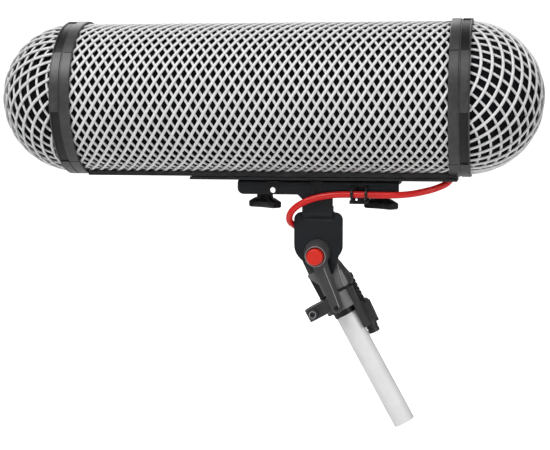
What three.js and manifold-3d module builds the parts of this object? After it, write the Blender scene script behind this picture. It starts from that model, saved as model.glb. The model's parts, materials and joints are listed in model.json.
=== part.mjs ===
// A basket windshield for a shotgun microphone, on a tilting bracket that a pole clamp holds.
// Millimetres, +Z up. +X runs along the basket to its rear end, where the lead comes out.
// The origin is on the pole's axis, at the lower face of the clamp collar.
import * as THREE from "three";
import { mergeVertices } from "three/addons/utils/BufferGeometryUtils.js";
import Module from "manifold-3d";

const wasm = await Module();
wasm.setup();

// ---- driving dimensions ----

const gap = 0.3; // running clearance between neighbours
const roundSides = 40; // facets round the basket

// the clamp, in its own frame: z up the pole from the collar's lower face, x to the side
const poleLean = THREE.MathUtils.degToRad(28.8);
const poleR = 7.3;
const poleBoreR = 5.8;
const poleInside = 19;
const poleBelow = 86;
const sleeveInnerR = poleR + gap;
const sleeveOuterR = 8.9;
const collarInnerR = sleeveOuterR + gap;
const collarOuterR = 11.2;
const collarHeight = 11.5;
const earReach = 23.3;
const earHeights = [2.4, 11.2];
const earHalfDepth = 8;
const pinchX = -18.4; // the pinch bolt across the collar's ears
const pinchZ = 6.6;
const pinchR = 1.9;
const pivotX = 3; // the pivot sits a little off the pole's axis
const pivotZ = 40;
const pivotR = 3;
const bodyHalfDepth = 6;
const shellR = 15;
const shellLeft = -8.3; // the shell's flat left side
const shellFloor = 12;

// the tilting head, measured from the basket's centre
const centreX = -34.6; // basket centre from the pivot
const centreZ = 104;
const sheet = 2; // bracket and cheek sheet thickness
const flangeFront = -12;
const flangeLeft = -18.4;
const flangeRight = 88.7;
const flangeBottom = -63.6;
const plateTop = -54.5;
const plateBack = 12;
const stemLeft = 25;
const stemRight = 45.2;
const stemBottom = -80.4;
const tongueInset = 3; // the tongue that the rear cheek hangs on is narrower than the stem
const cheekInner = bodyHalfDepth + 1.6;
const cheekEdges = [19.2, 51.7];
const cheekTop = -75.2;
const cheekCornerR = 5;
const rearCheekR = 9.4;
const rearCheekTop = -76;
const knobX = [-2, 76];
const knobStudR = 2;
const nutHalf = 5;
const tieX = [58.4, 67.8];
const tieZ = -63.1;
const leverReach = 36.6;
const leverHalf = 4.1;
const leverFace = -17.6;
const buttonR = 6;
const buttonFace = -22.6;
const springR = 4.3;

// the basket
const tubeR = 50;
const netDepth = 2.6;
const linerDepth = 0.8;
const linerR = tubeR - netDepth - gap;
const ringCentre = 128.5;
const ringWidth = 13.5;
const ringR = 51.5;
const pocketR = 51; // the lock ring between its raised quarters
const lipR = 47.4;
const capCentre = 131.75;
const grooveHalf = 0.4;
const tubeHalf = 123;
const keelTop = -51.9;
const keelHalfWidth = 12;
const keelEnds = [-121, 121.4];
const channelEnds = [-51, 126.4];
const channelBottom = -54.2;
const slotEnds = [-30, 110]; // where the nuts run
const outlet = [120.5, -4.5]; // where the lead comes out, in X and Y
const grommetWall = 1.2;
const barTop = -37.5;
const barThick = 3;
const barHalfWidth = 7;
const barHalf = 96;
const postX = [-80, 80];
const postR = 3;
const screwR = 2;
const studTop = -51.6;
const lyreX = [-46, 46];
const micR = 11;

const leadR = 2.2;

// the lead's centre line, from the basket's centre: its outlet, under the ties,
// round the cheek and down to the boot
const leadUpperRoute = [
  [119.4, -4.9, -57.2],
  [116.6, -5.9, -58.2],
  [111.8, -7.8, -59.8],
  [105.5, -10.6, -61.3],
  [97.5, -13, -62.5],
  [88.5, -14.5, -63.1],
  [79, -14.6, -63.2],
  [70, -14.6, -63.1],
  [63.4, -14.6, -63],
];
const leadLowerRoute = [
  [62.8, -14.6, -63],
  [55, -14.6, -63],
  [47, -14.8, -63.3],
  [39.5, -15, -64.3],
  [32.5, -15.2, -66],
  [26.5, -15.1, -68.4],
  [21.6, -14.6, -71.4],
  [18, -13.6, -75],
  [16.4, -11.8, -78.8],
  [16.5, -8.4, -82],
  [18.2, -3.6, -84.4],
  [20.4, 2, -87],
  [21.6, 8, -90.6],
  [22.4, 13.2, -95.4],
  [25.2, 17.2, -101.4],
  [30.4, 19.3, -107],
  [37, 18.9, -111.4],
];
// its last stretch in the clamp's frame, straight into the boot
const leadEndRoute = [
  [7.1, 16.2, 27.7],
  [9.7, 13, 22.9],
  [12.2, 10, 17.6],
];
const plugAxis = [12, 9.5];
const plugR = 4;
const plugTilt = THREE.MathUtils.degToRad(3.6); // the plug leans in towards the pole at its lower end
const plugTop = 12; // the height that it leans about
const bootR = 3.2;
const bootTop = 15.8;

// ---- solids ----

// A closed geometry as a solid that faces outwards.
function solid(geometry) {
  const bare = geometry.index ? geometry.toNonIndexed() : geometry.clone();
  bare.deleteAttribute("normal");
  bare.deleteAttribute("uv");
  const merged = mergeVertices(bare, 1e-4);
  const triVerts = new Uint32Array(merged.index.array);
  const mesh = { numProp: 3, vertProperties: merged.attributes.position.array, triVerts };
  const made = new wasm.Manifold(new wasm.Mesh(mesh));
  if (made.volume() > 0) return made;
  for (let i = 0; i < triVerts.length; i += 3) triVerts.subarray(i, i + 3).reverse();
  return new wasm.Manifold(new wasm.Mesh(mesh));
}

function join(...solids) {
  return solids.reduce((a, b) => a.add(b));
}

function cut(body, ...tools) {
  return tools.reduce((a, b) => a.subtract(b), body);
}

function box(x, y, z) {
  const block = new THREE.BoxGeometry(x[1] - x[0], y[1] - y[0], z[1] - z[0]);
  return solid(block.translate((x[0] + x[1]) / 2, (y[0] + y[1]) / 2, (z[0] + z[1]) / 2));
}

// A cylinder along one axis, from one height to another on it, at a place across it.
function rod(axis, radius, ends, across = [0, 0], sides = 24) {
  const cylinder = new THREE.CylinderGeometry(radius, radius, ends[1] - ends[0], sides);
  const middle = (ends[0] + ends[1]) / 2;
  if (axis === "x") return solid(cylinder.rotateZ(-Math.PI / 2).translate(middle, ...across));
  if (axis === "y") return solid(cylinder.translate(across[0], middle, across[1]));
  return solid(cylinder.rotateX(Math.PI / 2).translate(...across, middle));
}

// A turned shape about one axis. The profile is a list of [radius, place along the axis].
function turned(axis, profile, sides = 40) {
  const points = profile.map(([r, a]) => new THREE.Vector2(r, a));
  const lathe = new THREE.LatheGeometry(points, sides);
  if (axis === "x") lathe.rotateZ(-Math.PI / 2);
  if (axis === "z") lathe.rotateX(Math.PI / 2);
  return solid(lathe);
}

// A sleeve about one axis between two radii.
function sleeve(axis, inner, outer, ends, sides = 40) {
  const [low, high] = ends;
  const profile = [[inner, low], [outer, low], [outer, high], [inner, high], [inner, low]];
  return turned(axis, profile, sides);
}

// An outline in X and Z pushed through from the front face to the back face along Y.
function slab(outline, front, back) {
  const settings = { depth: back - front, bevelEnabled: false, curveSegments: 6 };
  const plate = new THREE.ExtrudeGeometry(outline, settings);
  return solid(plate.rotateX(Math.PI / 2).translate(0, back, 0));
}

// An outline in Y and Z pushed along X.
function crossSlab(outline, left, right) {
  const settings = { depth: right - left, bevelEnabled: false, curveSegments: 6 };
  const plate = new THREE.ExtrudeGeometry(outline, settings);
  return solid(plate.rotateX(Math.PI / 2).rotateZ(Math.PI / 2).translate(left, 0, 0));
}

function outlineOf(points) {
  return new THREE.Shape(points.map(([a, b]) => new THREE.Vector2(a, b)));
}

// A rectangle with its own radius at each corner: lower left, lower right, upper right, upper left.
function roundedRectangle(x, z, radii) {
  const [ll, lr, ur, ul] = radii;
  const s = new THREE.Shape();
  s.moveTo(x[0] + ll, z[0]);
  s.lineTo(x[1] - lr, z[0]);
  if (lr) s.absarc(x[1] - lr, z[0] + lr, lr, -Math.PI / 2, 0);
  s.lineTo(x[1], z[1] - ur);
  if (ur) s.absarc(x[1] - ur, z[1] - ur, ur, 0, Math.PI / 2);
  s.lineTo(x[0] + ul, z[1]);
  if (ul) s.absarc(x[0] + ul, z[1] - ul, ul, Math.PI / 2, Math.PI);
  s.lineTo(x[0], z[0] + ll);
  if (ll) s.absarc(x[0] + ll, z[0] + ll, ll, Math.PI, 1.5 * Math.PI);
  return s;
}

// A round tube that follows points.
function tube(points, radius, steps, sides = 8) {
  const path = new THREE.CatmullRomCurve3(points, false, "centripetal");
  const section = new THREE.Shape();
  section.absarc(0, 0, radius, 0, 2 * Math.PI);
  const ring = new THREE.Shape(section.getSpacedPoints(sides).slice(0, sides));
  return solid(new THREE.ExtrudeGeometry(ring, { extrudePath: path, steps, bevelEnabled: false }));
}

// ---- finishes ----

function finish(color, roughness, metalness = 0) {
  return new THREE.MeshStandardMaterial({ color, roughness, metalness });
}

const netWhite = finish(0xe2e2e2, 0.55);
const linerBlack = finish(0x101014, 0.95);
const ringGrey = finish(0x4a4a4c, 0.5);
const railBlack = finish(0x16171a, 0.45);
const coatedSteel = finish(0x23272c, 0.6, 0.3);
const castGrey = finish(0x55575a, 0.5, 0.2);
const mouldedBlack = finish(0x1b1c1e, 0.5);
const redSkin = finish(0xcc2a1e, 0.45);
const redCap = finish(0xd82a16, 0.35);
const boltSteel = finish(0x3a3c40, 0.35, 0.8);
const springSteel = finish(0xa8aaad, 0.3, 0.9);
const elastomer = finish(0x202124, 0.7);
const polePale = finish(0xdedede, 0.35);

function piece(name, made, material) {
  const { vertProperties, triVerts } = made.getMesh();
  const geometry = new THREE.BufferGeometry();
  geometry.setAttribute("position", new THREE.BufferAttribute(vertProperties, 3));
  geometry.setIndex(new THREE.BufferAttribute(triVerts, 1));
  geometry.computeVertexNormals();
  const mesh = new THREE.Mesh(geometry, material);
  mesh.name = name;
  return mesh;
}

// ---- the pole clamp, in the clamp's frame ----

function swivelBody() {
  const side = new THREE.Shape();
  side.moveTo(shellLeft, shellFloor);
  side.lineTo(13.4, shellFloor);
  side.quadraticCurveTo(shellR, 14, shellR, 18);
  side.lineTo(13, 28.6);
  side.lineTo(10.8, 34);
  side.absarc(pivotX, pivotZ, 8.8, -0.4, Math.PI + 0.2);
  const tongue = slab(side, -bodyHalfDepth, bodyHalfDepth);
  const coneTop = 32;
  const profile = [
    [0, shellFloor],
    [13.4, shellFloor],
    [shellR, 15],
    [shellR, 19.5],
    [10, coneTop],
    [0, coneTop],
  ];
  const cone = turned("z", profile);
  const keepLeft = box([shellLeft, 20], [-20, 20], [0, 60]);
  const keepFront = box([-20, 20], [-bodyHalfDepth - 1.2, 8.4], [0, coneTop]);
  const shell = cone.intersect(keepLeft).intersect(keepFront);
  const headroom = box([-20, 20], [bodyHalfDepth, 20], [21, 60]);
  const frontroom = box([-20, 20], [-20, -bodyHalfDepth], [21, 60]);
  const split = rod("z", sleeveOuterR, [gap, 13], [0, 0], 32);
  const socket = rod("z", sleeveInnerR, [-1, poleInside + 1], [0, 0], 32);
  const pivotHole = rod("y", pivotR + gap, [-20, 20], [pivotX, pivotZ]);
  const sleeveSlit = box([-12, 0], [-0.8, 0.8], [-1, 11.9]);
  const leadRoom = rod("z", 4.2, [0, 40], plugAxis);
  const whole = join(cut(shell, headroom, frontroom), tongue, split);
  return cut(whole, socket, pivotHole, sleeveSlit, leadRoom);
}

function clampCollar() {
  const band = rod("z", collarOuterR, [0, collarHeight], [0, 0], 32);
  const ears = box([-earReach, -7], [-earHalfDepth, earHalfDepth], earHeights);
  const noses = [-1, 1].map((side) =>
    box([-3, 3], [-3, 3], [-1, 13]).rotate([0, 0, 45]).translate([-earReach, side * earHalfDepth, 0]),
  );
  const bore = rod("z", collarInnerR, [-1, collarHeight + 1], [0, 0], 32);
  const slit = box([-earReach - 1, 0], [-1, 1], [-1, collarHeight + 1]);
  const boltHole = rod("y", pinchR + gap, [-20, 20], [pinchX, pinchZ]);
  return cut(join(band, ears), ...noses, bore, slit, boltHole);
}

function pinchBolt() {
  const at = [pinchX, pinchZ];
  const head = rod("y", 3.1, [-earHalfDepth - 3.2, -earHalfDepth - gap], at);
  const shaft = rod("y", pinchR, [-earHalfDepth - 1, earHalfDepth + 3.6], at, 16);
  const key = rod("y", 1.5, [-earHalfDepth - 4, -earHalfDepth - 1.4], at, 6);
  return cut(join(head, shaft), key);
}

function pinchNut() {
  const nut = rod("y", 3.8, [earHalfDepth + gap, earHalfDepth + 3], [pinchX, pinchZ], 6);
  return cut(nut, rod("y", pinchR + gap, [0, 20], [pinchX, pinchZ], 16));
}

function pivotBolt() {
  const behind = cheekInner + sheet;
  const shaft = rod("y", pivotR, [-15, behind + 1], [pivotX, pivotZ]);
  const head = rod("y", 5.4, [behind + gap, behind + 4], [pivotX, pivotZ], 6);
  return join(shaft, head);
}

function poleTip() {
  return sleeve("z", poleBoreR, poleR, [-poleBelow, poleInside], 32);
}

// Leans a solid about the plug's top, so that its lower end nears the pole.
function leaned(made) {
  const [x] = plugAxis;
  const degrees = THREE.MathUtils.radToDeg(plugTilt);
  return made.translate([-x, 0, -plugTop]).rotate([0, degrees, 0]).translate([x, 0, plugTop]);
}

function connectorClip() {
  const armX = [9.2, 13.6];
  const clipBottom = -17.4;
  const holderTop = -2.9;
  const arm = box(armX, [-7, -2.6], [clipBottom, 14.4]);
  const bend = box(armX, [-7, 8], [clipBottom, holderTop]);
  const holder = rod("z", 6.2, [clipBottom - 0.5, holderTop], plugAxis, 24);
  const thumb = box([13.8, 18], [4, 9], [-15.4, -3.4]);
  const plugRoom = rod("z", plugR + gap, [-20, 20], plugAxis, 24);
  const mouth = box([9.4, 14.6], [9, 20], [-20, 0]);
  const collarRoom = rod("z", collarOuterR + gap, [-0.6, 12], [0, 0], 32);
  const poleRoom = rod("z", poleR + gap + 0.2, [-20, 20], [0, 0], 32);
  const bodyRoom = box([-20, 20], [-20, 20], [11.7, 20]);
  const leaning = leaned(cut(join(arm, bend, holder, thumb), plugRoom, mouth));
  return cut(leaning, collarRoom, poleRoom, bodyRoom);
}

function outputConnector() {
  const [x, y] = plugAxis;
  const bottom = -24.4;
  const top = -1;
  const profile = [
    [0, bottom],
    [plugR - 0.6, bottom],
    [plugR, bottom + 0.6],
    [plugR, top - 0.6],
    [bootR, top],
    [0, top],
  ];
  const shape = turned("z", profile, 24);
  const face = rod("z", plugR - 1, [bottom - 1, bottom + 4.6], [0, 0], 16);
  return leaned(cut(shape, face).translate([x, y, 0]));
}

function connectorBoot() {
  const [x, y] = plugAxis;
  const ribs = 4;
  const pitch = 3.4;
  const profile = [[0, -0.7], [bootR, -0.7]];
  for (let rib = 0; rib < ribs; rib++) {
    const low = gap + rib * pitch;
    const r = bootR - rib * 0.1;
    profile.push([r, low], [r, low + 1.9], [r - 0.5, low + 1.9], [r - 0.5, low + pitch]);
  }
  profile.push([2.5, bootTop], [0, bootTop]);
  return leaned(turned("z", profile, 14).translate([x, y, 0]));
}

// ---- the tilting head, measured from the basket's centre ----

// A shield: square above with round corners, drawn in round the pivot below.
function cheekOutline() {
  const [left, right] = cheekEdges;
  const cornerZ = cheekTop - cheekCornerR;
  const s = new THREE.Shape();
  s.moveTo(left + cheekCornerR, cheekTop);
  s.absarc(left + cheekCornerR, cornerZ, cheekCornerR, Math.PI / 2, Math.PI);
  s.lineTo(left, -97);
  s.quadraticCurveTo(left, -103.5, 25.3, -108.2);
  s.lineTo(33, -115.5);
  s.lineTo(45.3, -116.3);
  s.lineTo(48.4, -108.2);
  s.lineTo(49, -104.4);
  s.quadraticCurveTo(right, -101, right, -97.6);
  s.lineTo(right, cornerZ);
  s.absarc(right - cheekCornerR, cornerZ, cheekCornerR, 0, Math.PI / 2);
  return s;
}

function frontCheek() {
  const plate = slab(cheekOutline(), -cheekInner - sheet, -cheekInner);
  const slot = box([stemLeft - gap, stemRight + gap], [-20, 0], [stemBottom - gap, -70]);
  const pivotHole = rod("y", pivotR + gap, [-20, 0], [-centreX, -centreZ]);
  return cut(plate, slot, pivotHole);
}

function rearCheek() {
  const outline = new THREE.Shape();
  outline.moveTo(-centreX - rearCheekR, rearCheekTop);
  outline.lineTo(-centreX - rearCheekR, -centreZ);
  outline.absarc(-centreX, -centreZ, rearCheekR, Math.PI, 2 * Math.PI);
  outline.lineTo(-centreX + rearCheekR, rearCheekTop);
  const plate = slab(outline, cheekInner, cheekInner + sheet);
  const slotX = [stemLeft + tongueInset - gap, stemRight - tongueInset + gap];
  const slot = box(slotX, [0, 20], [stemBottom - gap, stemBottom + sheet + gap]);
  const pivotHole = rod("y", pivotR + gap, [0, 20], [-centreX, -centreZ]);
  return cut(plate, slot, pivotHole);
}

function stemBracket() {
  const front = flangeFront;
  const back = flangeFront + sheet;
  const seam = flangeBottom + 1;
  const face = roundedRectangle([flangeLeft, flangeRight], [flangeBottom, plateTop], [4, 3, 0, 0]);
  const flange = slab(face, front, back);
  const top = box([flangeLeft, flangeRight], [front, plateBack], [plateTop - sheet, plateTop]);
  const stem = box([stemLeft, stemRight], [front, back], [stemBottom, seam]);
  const corner = outlineOf([[stemLeft - 3, flangeBottom], [stemLeft, seam], [stemLeft, flangeBottom - 3]]);
  const shoulder = slab(corner, front, back);
  const curl = rod("x", 1.2, [stemLeft, stemRight], [front + 1.2, stemBottom + 1], 12);
  const shelfZ = [stemBottom, stemBottom + sheet];
  const shelf = box([stemLeft, stemRight], [front, cheekInner - gap], shelfZ);
  const tongue = box([stemLeft + tongueInset, stemRight - tongueInset], [0, cheekInner + sheet], shelfZ);
  const tab = box([tieX[0] - 0.6, 69.5], [front, back], [-69.4, seam]);
  const studSlots = knobX.map((x) => rod("z", knobStudR + 0.4, [-70, -50], [x, 0], 16));
  const bandHoles = [[5.3, -60.8, 1.9], [34, -60.6, 1.7]];
  const tabHoles = [[61, -66.6, 0.9], [66.8, -66.2, 0.7], [68.2, -67.6, 0.6]];
  const drilled = [...bandHoles, ...tabHoles].map(([x, z, r]) => rod("y", r, [-20, 0], [x, z], 16));
  const window = box([60.7, 66], [-20, back + 1], [-61, -56.8]);
  const whole = join(flange, top, stem, shoulder, curl, shelf, tongue, tab);
  return cut(whole, ...studSlots, ...drilled, window);
}

function cableTie(x) {
  const y = leadUpperRoute[6][1];
  const z = tieZ;
  const inner = leadR + gap;
  const loop = new THREE.Shape();
  loop.absarc(y, z, inner + 0.9, 0, 2 * Math.PI);
  const hole = new THREE.Path();
  hole.absarc(y, z, inner, 0, 2 * Math.PI);
  loop.holes.push(hole);
  const band = crossSlab(loop, x - 0.8, x + 0.8);
  const head = box([x - 1.4, x + 1.4], [y - 1.4, y + 1.4], [z - inner - 2.6, z - inner - 0.5]);
  const flangeRoom = box([x - 5, x + 5], [flangeFront - gap, 0], [-80, -50]);
  return cut(join(band, head), flangeRoom);
}

function frictionDisc(side) {
  const ends = [bodyHalfDepth + gap, cheekInner - gap].map((y) => side * y).sort((a, b) => a - b);
  return sleeve("y", pivotR + gap, rearCheekR - 0.2, ends, 28).translate([-centreX, 0, -centreZ]);
}

function thumbKnob() {
  const neck = rod("z", 5.2, [-66, plateTop - sheet - gap]);
  const bar = new THREE.ExtrudeGeometry(roundedRectangle([-10.5, 10.5], [-5.4, 5.4], [3, 3, 3, 3]), {
    depth: 5.4,
    bevelEnabled: true,
    bevelSize: 0.8,
    bevelThickness: 0.8,
    bevelSegments: 1,
    curveSegments: 3,
  });
  const wing = solid(bar.translate(0, 0, -72.2)).rotate([0, 0, 30]);
  const stud = rod("z", knobStudR, [-66, studTop], [0, 0], 16);
  return join(neck, wing, stud);
}

function clampNut() {
  const block = box([-nutHalf, nutHalf], [-nutHalf, nutHalf], [-53.4, studTop]);
  return cut(block, rod("z", knobStudR + gap, [-60, -50], [0, 0], 16));
}

// ---- the lever on the pivot, in the clamp's frame ----

function leverArm() {
  const hubBack = -10;
  const hubR = 8.6;
  const profile = [
    [0, leverFace],
    [hubR - 0.4, leverFace],
    [hubR, leverFace + 3],
    [hubR, hubBack],
    [0, hubBack],
  ];
  const hub = turned("y", profile, 28);
  const armBack = leverFace + 4;
  const root = leverHalf + 2;
  const outline = outlineOf([[-root, 0], [-leverHalf, -leverReach], [leverHalf, -leverReach], [root, 0]]);
  const bar = slab(outline, leverFace, armBack);
  const tip = rod("y", leverHalf, [leverFace, armBack], [0, -leverReach]);
  const hangHole = rod("y", 1.7, [-30, 0], [0, -leverReach]);
  const buttonWell = rod("y", buttonR + gap, [-30, leverFace + 4.2]);
  const boltHole = rod("y", pivotR + gap, [-30, 0]);
  return cut(join(hub, bar, tip), hangHole, buttonWell, boltHole);
}

function leverButton() {
  const skirt = -16;
  const bevel = 0.8;
  const cupR = buttonR - 1.1;
  const cupTop = skirt - 1.9;
  const profile = [
    [0, buttonFace],
    [buttonR - bevel, buttonFace],
    [buttonR, buttonFace + bevel],
    [buttonR, skirt],
    [cupR, skirt],
    [cupR, cupTop],
    [0, cupTop],
  ];
  return turned("y", profile, 24);
}

function buttonSpring() {
  const turns = 3;
  const steps = turns * 12;
  const low = -13.8;
  const height = 3.7;
  const points = [];
  for (let i = 0; i <= steps; i++) {
    const a = (i / steps) * turns * 2 * Math.PI;
    points.push(new THREE.Vector3(springR * Math.cos(a), low - (i / steps) * height, springR * Math.sin(a)));
  }
  return tube(points, 0.22, steps, 5);
}

// ---- the basket, about its own centre ----

// One end's shape, given for the rear and mirrored for the front.
function atEnd(side, made) {
  return side > 0 ? made : made.mirror([1, 0, 0]);
}

function shellTube(inner, outer) {
  const holes = postX.map((x) => rod("z", postR + gap, [-60, -30], [x, 0], 16));
  return cut(sleeve("x", inner, outer, [-tubeHalf, tubeHalf], roundSides), ...holes);
}

function keelRail() {
  const cradle = box(keelEnds, [-keelHalfWidth, keelHalfWidth], [keelTop, -46]);
  const room = rod("x", tubeR + gap, [-140, 140], [0, 0], 60);
  const slots = postX.map((x) => rod("z", postR + gap, [-60, -40], [x, 0], 16));
  const nutRoom = box(slotEnds, [-nutHalf - 1, nutHalf + 1], [-60, studTop + 0.4]);
  const outletHole = rod("z", leadR + grommetWall + 0.4 + gap, [-60, -30], outlet, 16);
  return cut(cradle, room, ...slots, nutRoom, outletHole);
}

function keelChannel() {
  const bar = box(channelEnds, [-keelHalfWidth, keelHalfWidth], [channelBottom, keelTop - gap]);
  const nutRoom = box(slotEnds, [-nutHalf - 1, nutHalf + 1], [-53.6, -50]);
  const slot = box(slotEnds, [-knobStudR - 0.5, knobStudR + 0.5], [-60, -50]);
  const outletHole = rod("z", leadR + grommetWall + gap, [-60, -40], outlet, 16);
  return cut(bar, nutRoom, slot, outletHole);
}

function leadGrommet() {
  const ends = [channelBottom - gap, keelTop - gap];
  return sleeve("z", leadR, leadR + grommetWall, ends, 20).translate([...outlet, 0]);
}

function tubeRing() {
  const inner = tubeR + gap;
  const start = ringCentre - ringWidth / 2;
  const end = ringCentre - grooveHalf;
  const profile = [
    [inner, start],
    [ringR - 0.4, start],
    [ringR, start + 0.5],
    [ringR, end],
    [lipR, end],
    [lipR, tubeHalf + gap],
    [inner, tubeHalf + gap],
    [inner, start],
  ];
  return turned("x", profile, roundSides);
}

function lockRing() {
  const start = ringCentre + grooveHalf;
  const end = ringCentre + ringWidth / 2;
  const pocketed = sleeve("x", tubeR + gap, pocketR, [start, end], roundSides);
  const raised = sleeve("x", tubeR + gap, ringR, [start, end], roundSides);
  const quarters = [0, 1, 2, 3].map((k) => {
    const sector = outlineOf([[0, 0], [70, -12.3], [70, 70]]);
    const wedge = crossSlab(sector, start - 1, end + 1);
    return raised.intersect(wedge.rotate([k * 90, 0, 0]));
  });
  return join(pocketed, ...quarters);
}

function capRim() {
  const start = ringCentre + grooveHalf;
  return sleeve("x", lipR, tubeR, [start, capCentre - gap], roundSides);
}

// Half a ball's shell, open towards the tube.
function dome(outer, inner) {
  const steps = 5;
  const arc = (r, i) => {
    const a = (i / steps) * (Math.PI / 2);
    return [r * Math.cos(a), capCentre + r * Math.sin(a)];
  };
  const profile = [];
  for (let i = 0; i < steps; i++) profile.push(arc(outer, i));
  profile.push([0, capCentre + outer], [0, capCentre + inner]);
  for (let i = steps - 1; i >= 0; i--) profile.push(arc(inner, i));
  profile.push(arc(outer, 0));
  return turned("x", profile, 32);
}

function suspensionBar() {
  const bar = box([-barHalf, barHalf], [-barHalfWidth, barHalfWidth], [barTop - barThick, barTop]);
  const holes = postX.map((x) => rod("z", screwR + gap, [-60, -30], [x, 0], 16));
  return cut(bar, ...holes);
}

function barPost(x) {
  const spacer = sleeve("z", screwR + gap, postR, [-50.9, barTop - barThick - gap], 20);
  return spacer.translate([x, 0, 0]);
}

function postScrew(x) {
  const shaft = rod("z", screwR, [studTop + 0.4, barTop + 0.5], [0, 0], 16);
  const head = rod("z", 3.6, [barTop + gap, barTop + 2.4], [0, 0], 20);
  return join(shaft, head).translate([x, 0, 0]);
}

function lyreBase(x) {
  const block = box([x - 7, x + 7], [-10, 10], [barTop - barThick - 2.6, barTop + 4]);
  const tunnelHalf = barHalfWidth + gap;
  const tunnel = box([-200, 200], [-tunnelHalf, tunnelHalf], [barTop - barThick - gap, barTop + gap]);
  const slit = box([-200, 200], [-5, 5], [-50, barTop - barThick]);
  return cut(block, tunnel, slit);
}

function lyreSpring(x) {
  const foot = barTop + 4 + gap;
  const wide = 24;
  const hoop = outlineOf([
    [-9, foot],
    [9, foot],
    [wide, -14],
    [wide, 2],
    [micR + 1, 2],
    [micR + 1, -3],
    [wide - 3, -3],
    [wide - 3, -12.6],
    [7.4, foot + 3],
    [-7.4, foot + 3],
    [3 - wide, -12.6],
    [3 - wide, -3],
    [-micR - 1, -3],
    [-micR - 1, 2],
    [-wide, 2],
    [-wide, -14],
  ]);
  const frame = crossSlab(hoop, x - 4, x + 4);
  const cradle = sleeve("x", micR, micR + 2.4, [x - 4, x + 4], 24);
  const mouth = box([x - 10, x + 10], [-7, 7], [0, 30]);
  return cut(join(cut(frame, rod("x", micR + 1.6, [x - 9, x + 9])), cradle), mouth);
}

// ---- assembly ----

const windshield = new THREE.Group();

const clamp = new THREE.Group();
clamp.rotation.y = -poleLean;
clamp.add(piece("swivel_body", swivelBody(), castGrey));
clamp.add(piece("clamp_collar", clampCollar(), castGrey));
clamp.add(piece("pinch_bolt", pinchBolt(), boltSteel));
clamp.add(piece("pinch_nut", pinchNut(), boltSteel));
clamp.add(piece("pivot_bolt", pivotBolt(), boltSteel));
clamp.add(piece("connector_clip", connectorClip(), castGrey));
clamp.add(piece("output_connector", outputConnector(), castGrey));
clamp.add(piece("connector_boot", connectorBoot(), mouldedBlack));
clamp.add(piece("pole_tip_section", poleTip(), polePale));
windshield.add(clamp);
clamp.updateMatrixWorld(true);

const pivot = new THREE.Vector3(pivotX, 0, pivotZ).applyMatrix4(clamp.matrixWorld);

// The lever hangs 3.8 degrees nearer the vertical than the pole.
const lever = new THREE.Group();
lever.position.copy(pivot);
lever.rotation.y = -poleLean + THREE.MathUtils.degToRad(3.8);
lever.add(piece("tension_lever", leverArm(), castGrey));
lever.add(piece("lever_button", leverButton(), redCap));
lever.add(piece("button_spring", buttonSpring(), springSteel));
windshield.add(lever);

const head = new THREE.Group();
head.position.set(pivot.x + centreX, 0, pivot.z + centreZ);
head.add(piece("stem_bracket", stemBracket(), coatedSteel));
head.add(piece("front_cheek", frontCheek(), coatedSteel));
head.add(piece("rear_cheek", rearCheek(), coatedSteel));
head.add(piece("front_friction_disc", frictionDisc(-1), mouldedBlack));
head.add(piece("rear_friction_disc", frictionDisc(1), mouldedBlack));
["front", "rear"].forEach((end, i) => {
  head.add(piece(end + "_cable_tie", cableTie(tieX[i]), mouldedBlack));
  head.add(piece(end + "_thumb_knob", thumbKnob().translate([knobX[i], 0, 0]), mouldedBlack));
  head.add(piece(end + "_clamp_nut", clampNut().translate([knobX[i], 0, 0]), boltSteel));
});

head.add(piece("basket_tube", shellTube(tubeR - netDepth, tubeR), netWhite));
head.add(piece("tube_liner", shellTube(linerR - linerDepth, linerR), linerBlack));
head.add(piece("keel_rail", keelRail(), railBlack));
head.add(piece("keel_channel", keelChannel(), railBlack));
head.add(piece("lead_grommet", leadGrommet(), mouldedBlack));
head.add(piece("suspension_bar", suspensionBar(), railBlack));
["front", "rear"].forEach((end, i) => {
  const side = i === 0 ? -1 : 1;
  head.add(piece(end + "_tube_ring", atEnd(side, tubeRing()), ringGrey));
  head.add(piece(end + "_lock_ring", atEnd(side, lockRing()), ringGrey));
  head.add(piece(end + "_cap_rim", atEnd(side, capRim()), ringGrey));
  head.add(piece(end + "_cap_net", atEnd(side, dome(tubeR, tubeR - netDepth)), netWhite));
  head.add(piece(end + "_cap_liner", atEnd(side, dome(linerR, linerR - linerDepth)), linerBlack));
  head.add(piece(end + "_bar_post", barPost(postX[i]), railBlack));
  head.add(piece(end + "_post_screw", postScrew(postX[i]), boltSteel));
  head.add(piece(end + "_lyre_base", lyreBase(lyreX[i]), mouldedBlack));
  head.add(piece(end + "_lyre", lyreSpring(lyreX[i]), elastomer));
});
windshield.add(head);
windshield.updateMatrixWorld(true);

// The lead is laid in the part's own frame, from routes given in the head's and the clamp's frames.
function placed(route, group) {
  return route.map((point) => new THREE.Vector3(...point).applyMatrix4(group.matrixWorld));
}

const upper = placed(leadUpperRoute, head);
const lower = [...placed(leadLowerRoute, head), ...placed(leadEndRoute, clamp)];
windshield.add(piece("lead_upper", tube(upper, leadR, 8), redSkin));
windshield.add(piece("lead_lower", tube(lower, leadR, 34), redSkin));

export default windshield;
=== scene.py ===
"""The looks of a basket windshield for a shotgun microphone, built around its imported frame."""

import json
import math

import bmesh
import bpy
from bpy.props import FloatProperty, FloatVectorProperty, IntProperty, PointerProperty
from mathutils import Matrix, Vector

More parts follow.
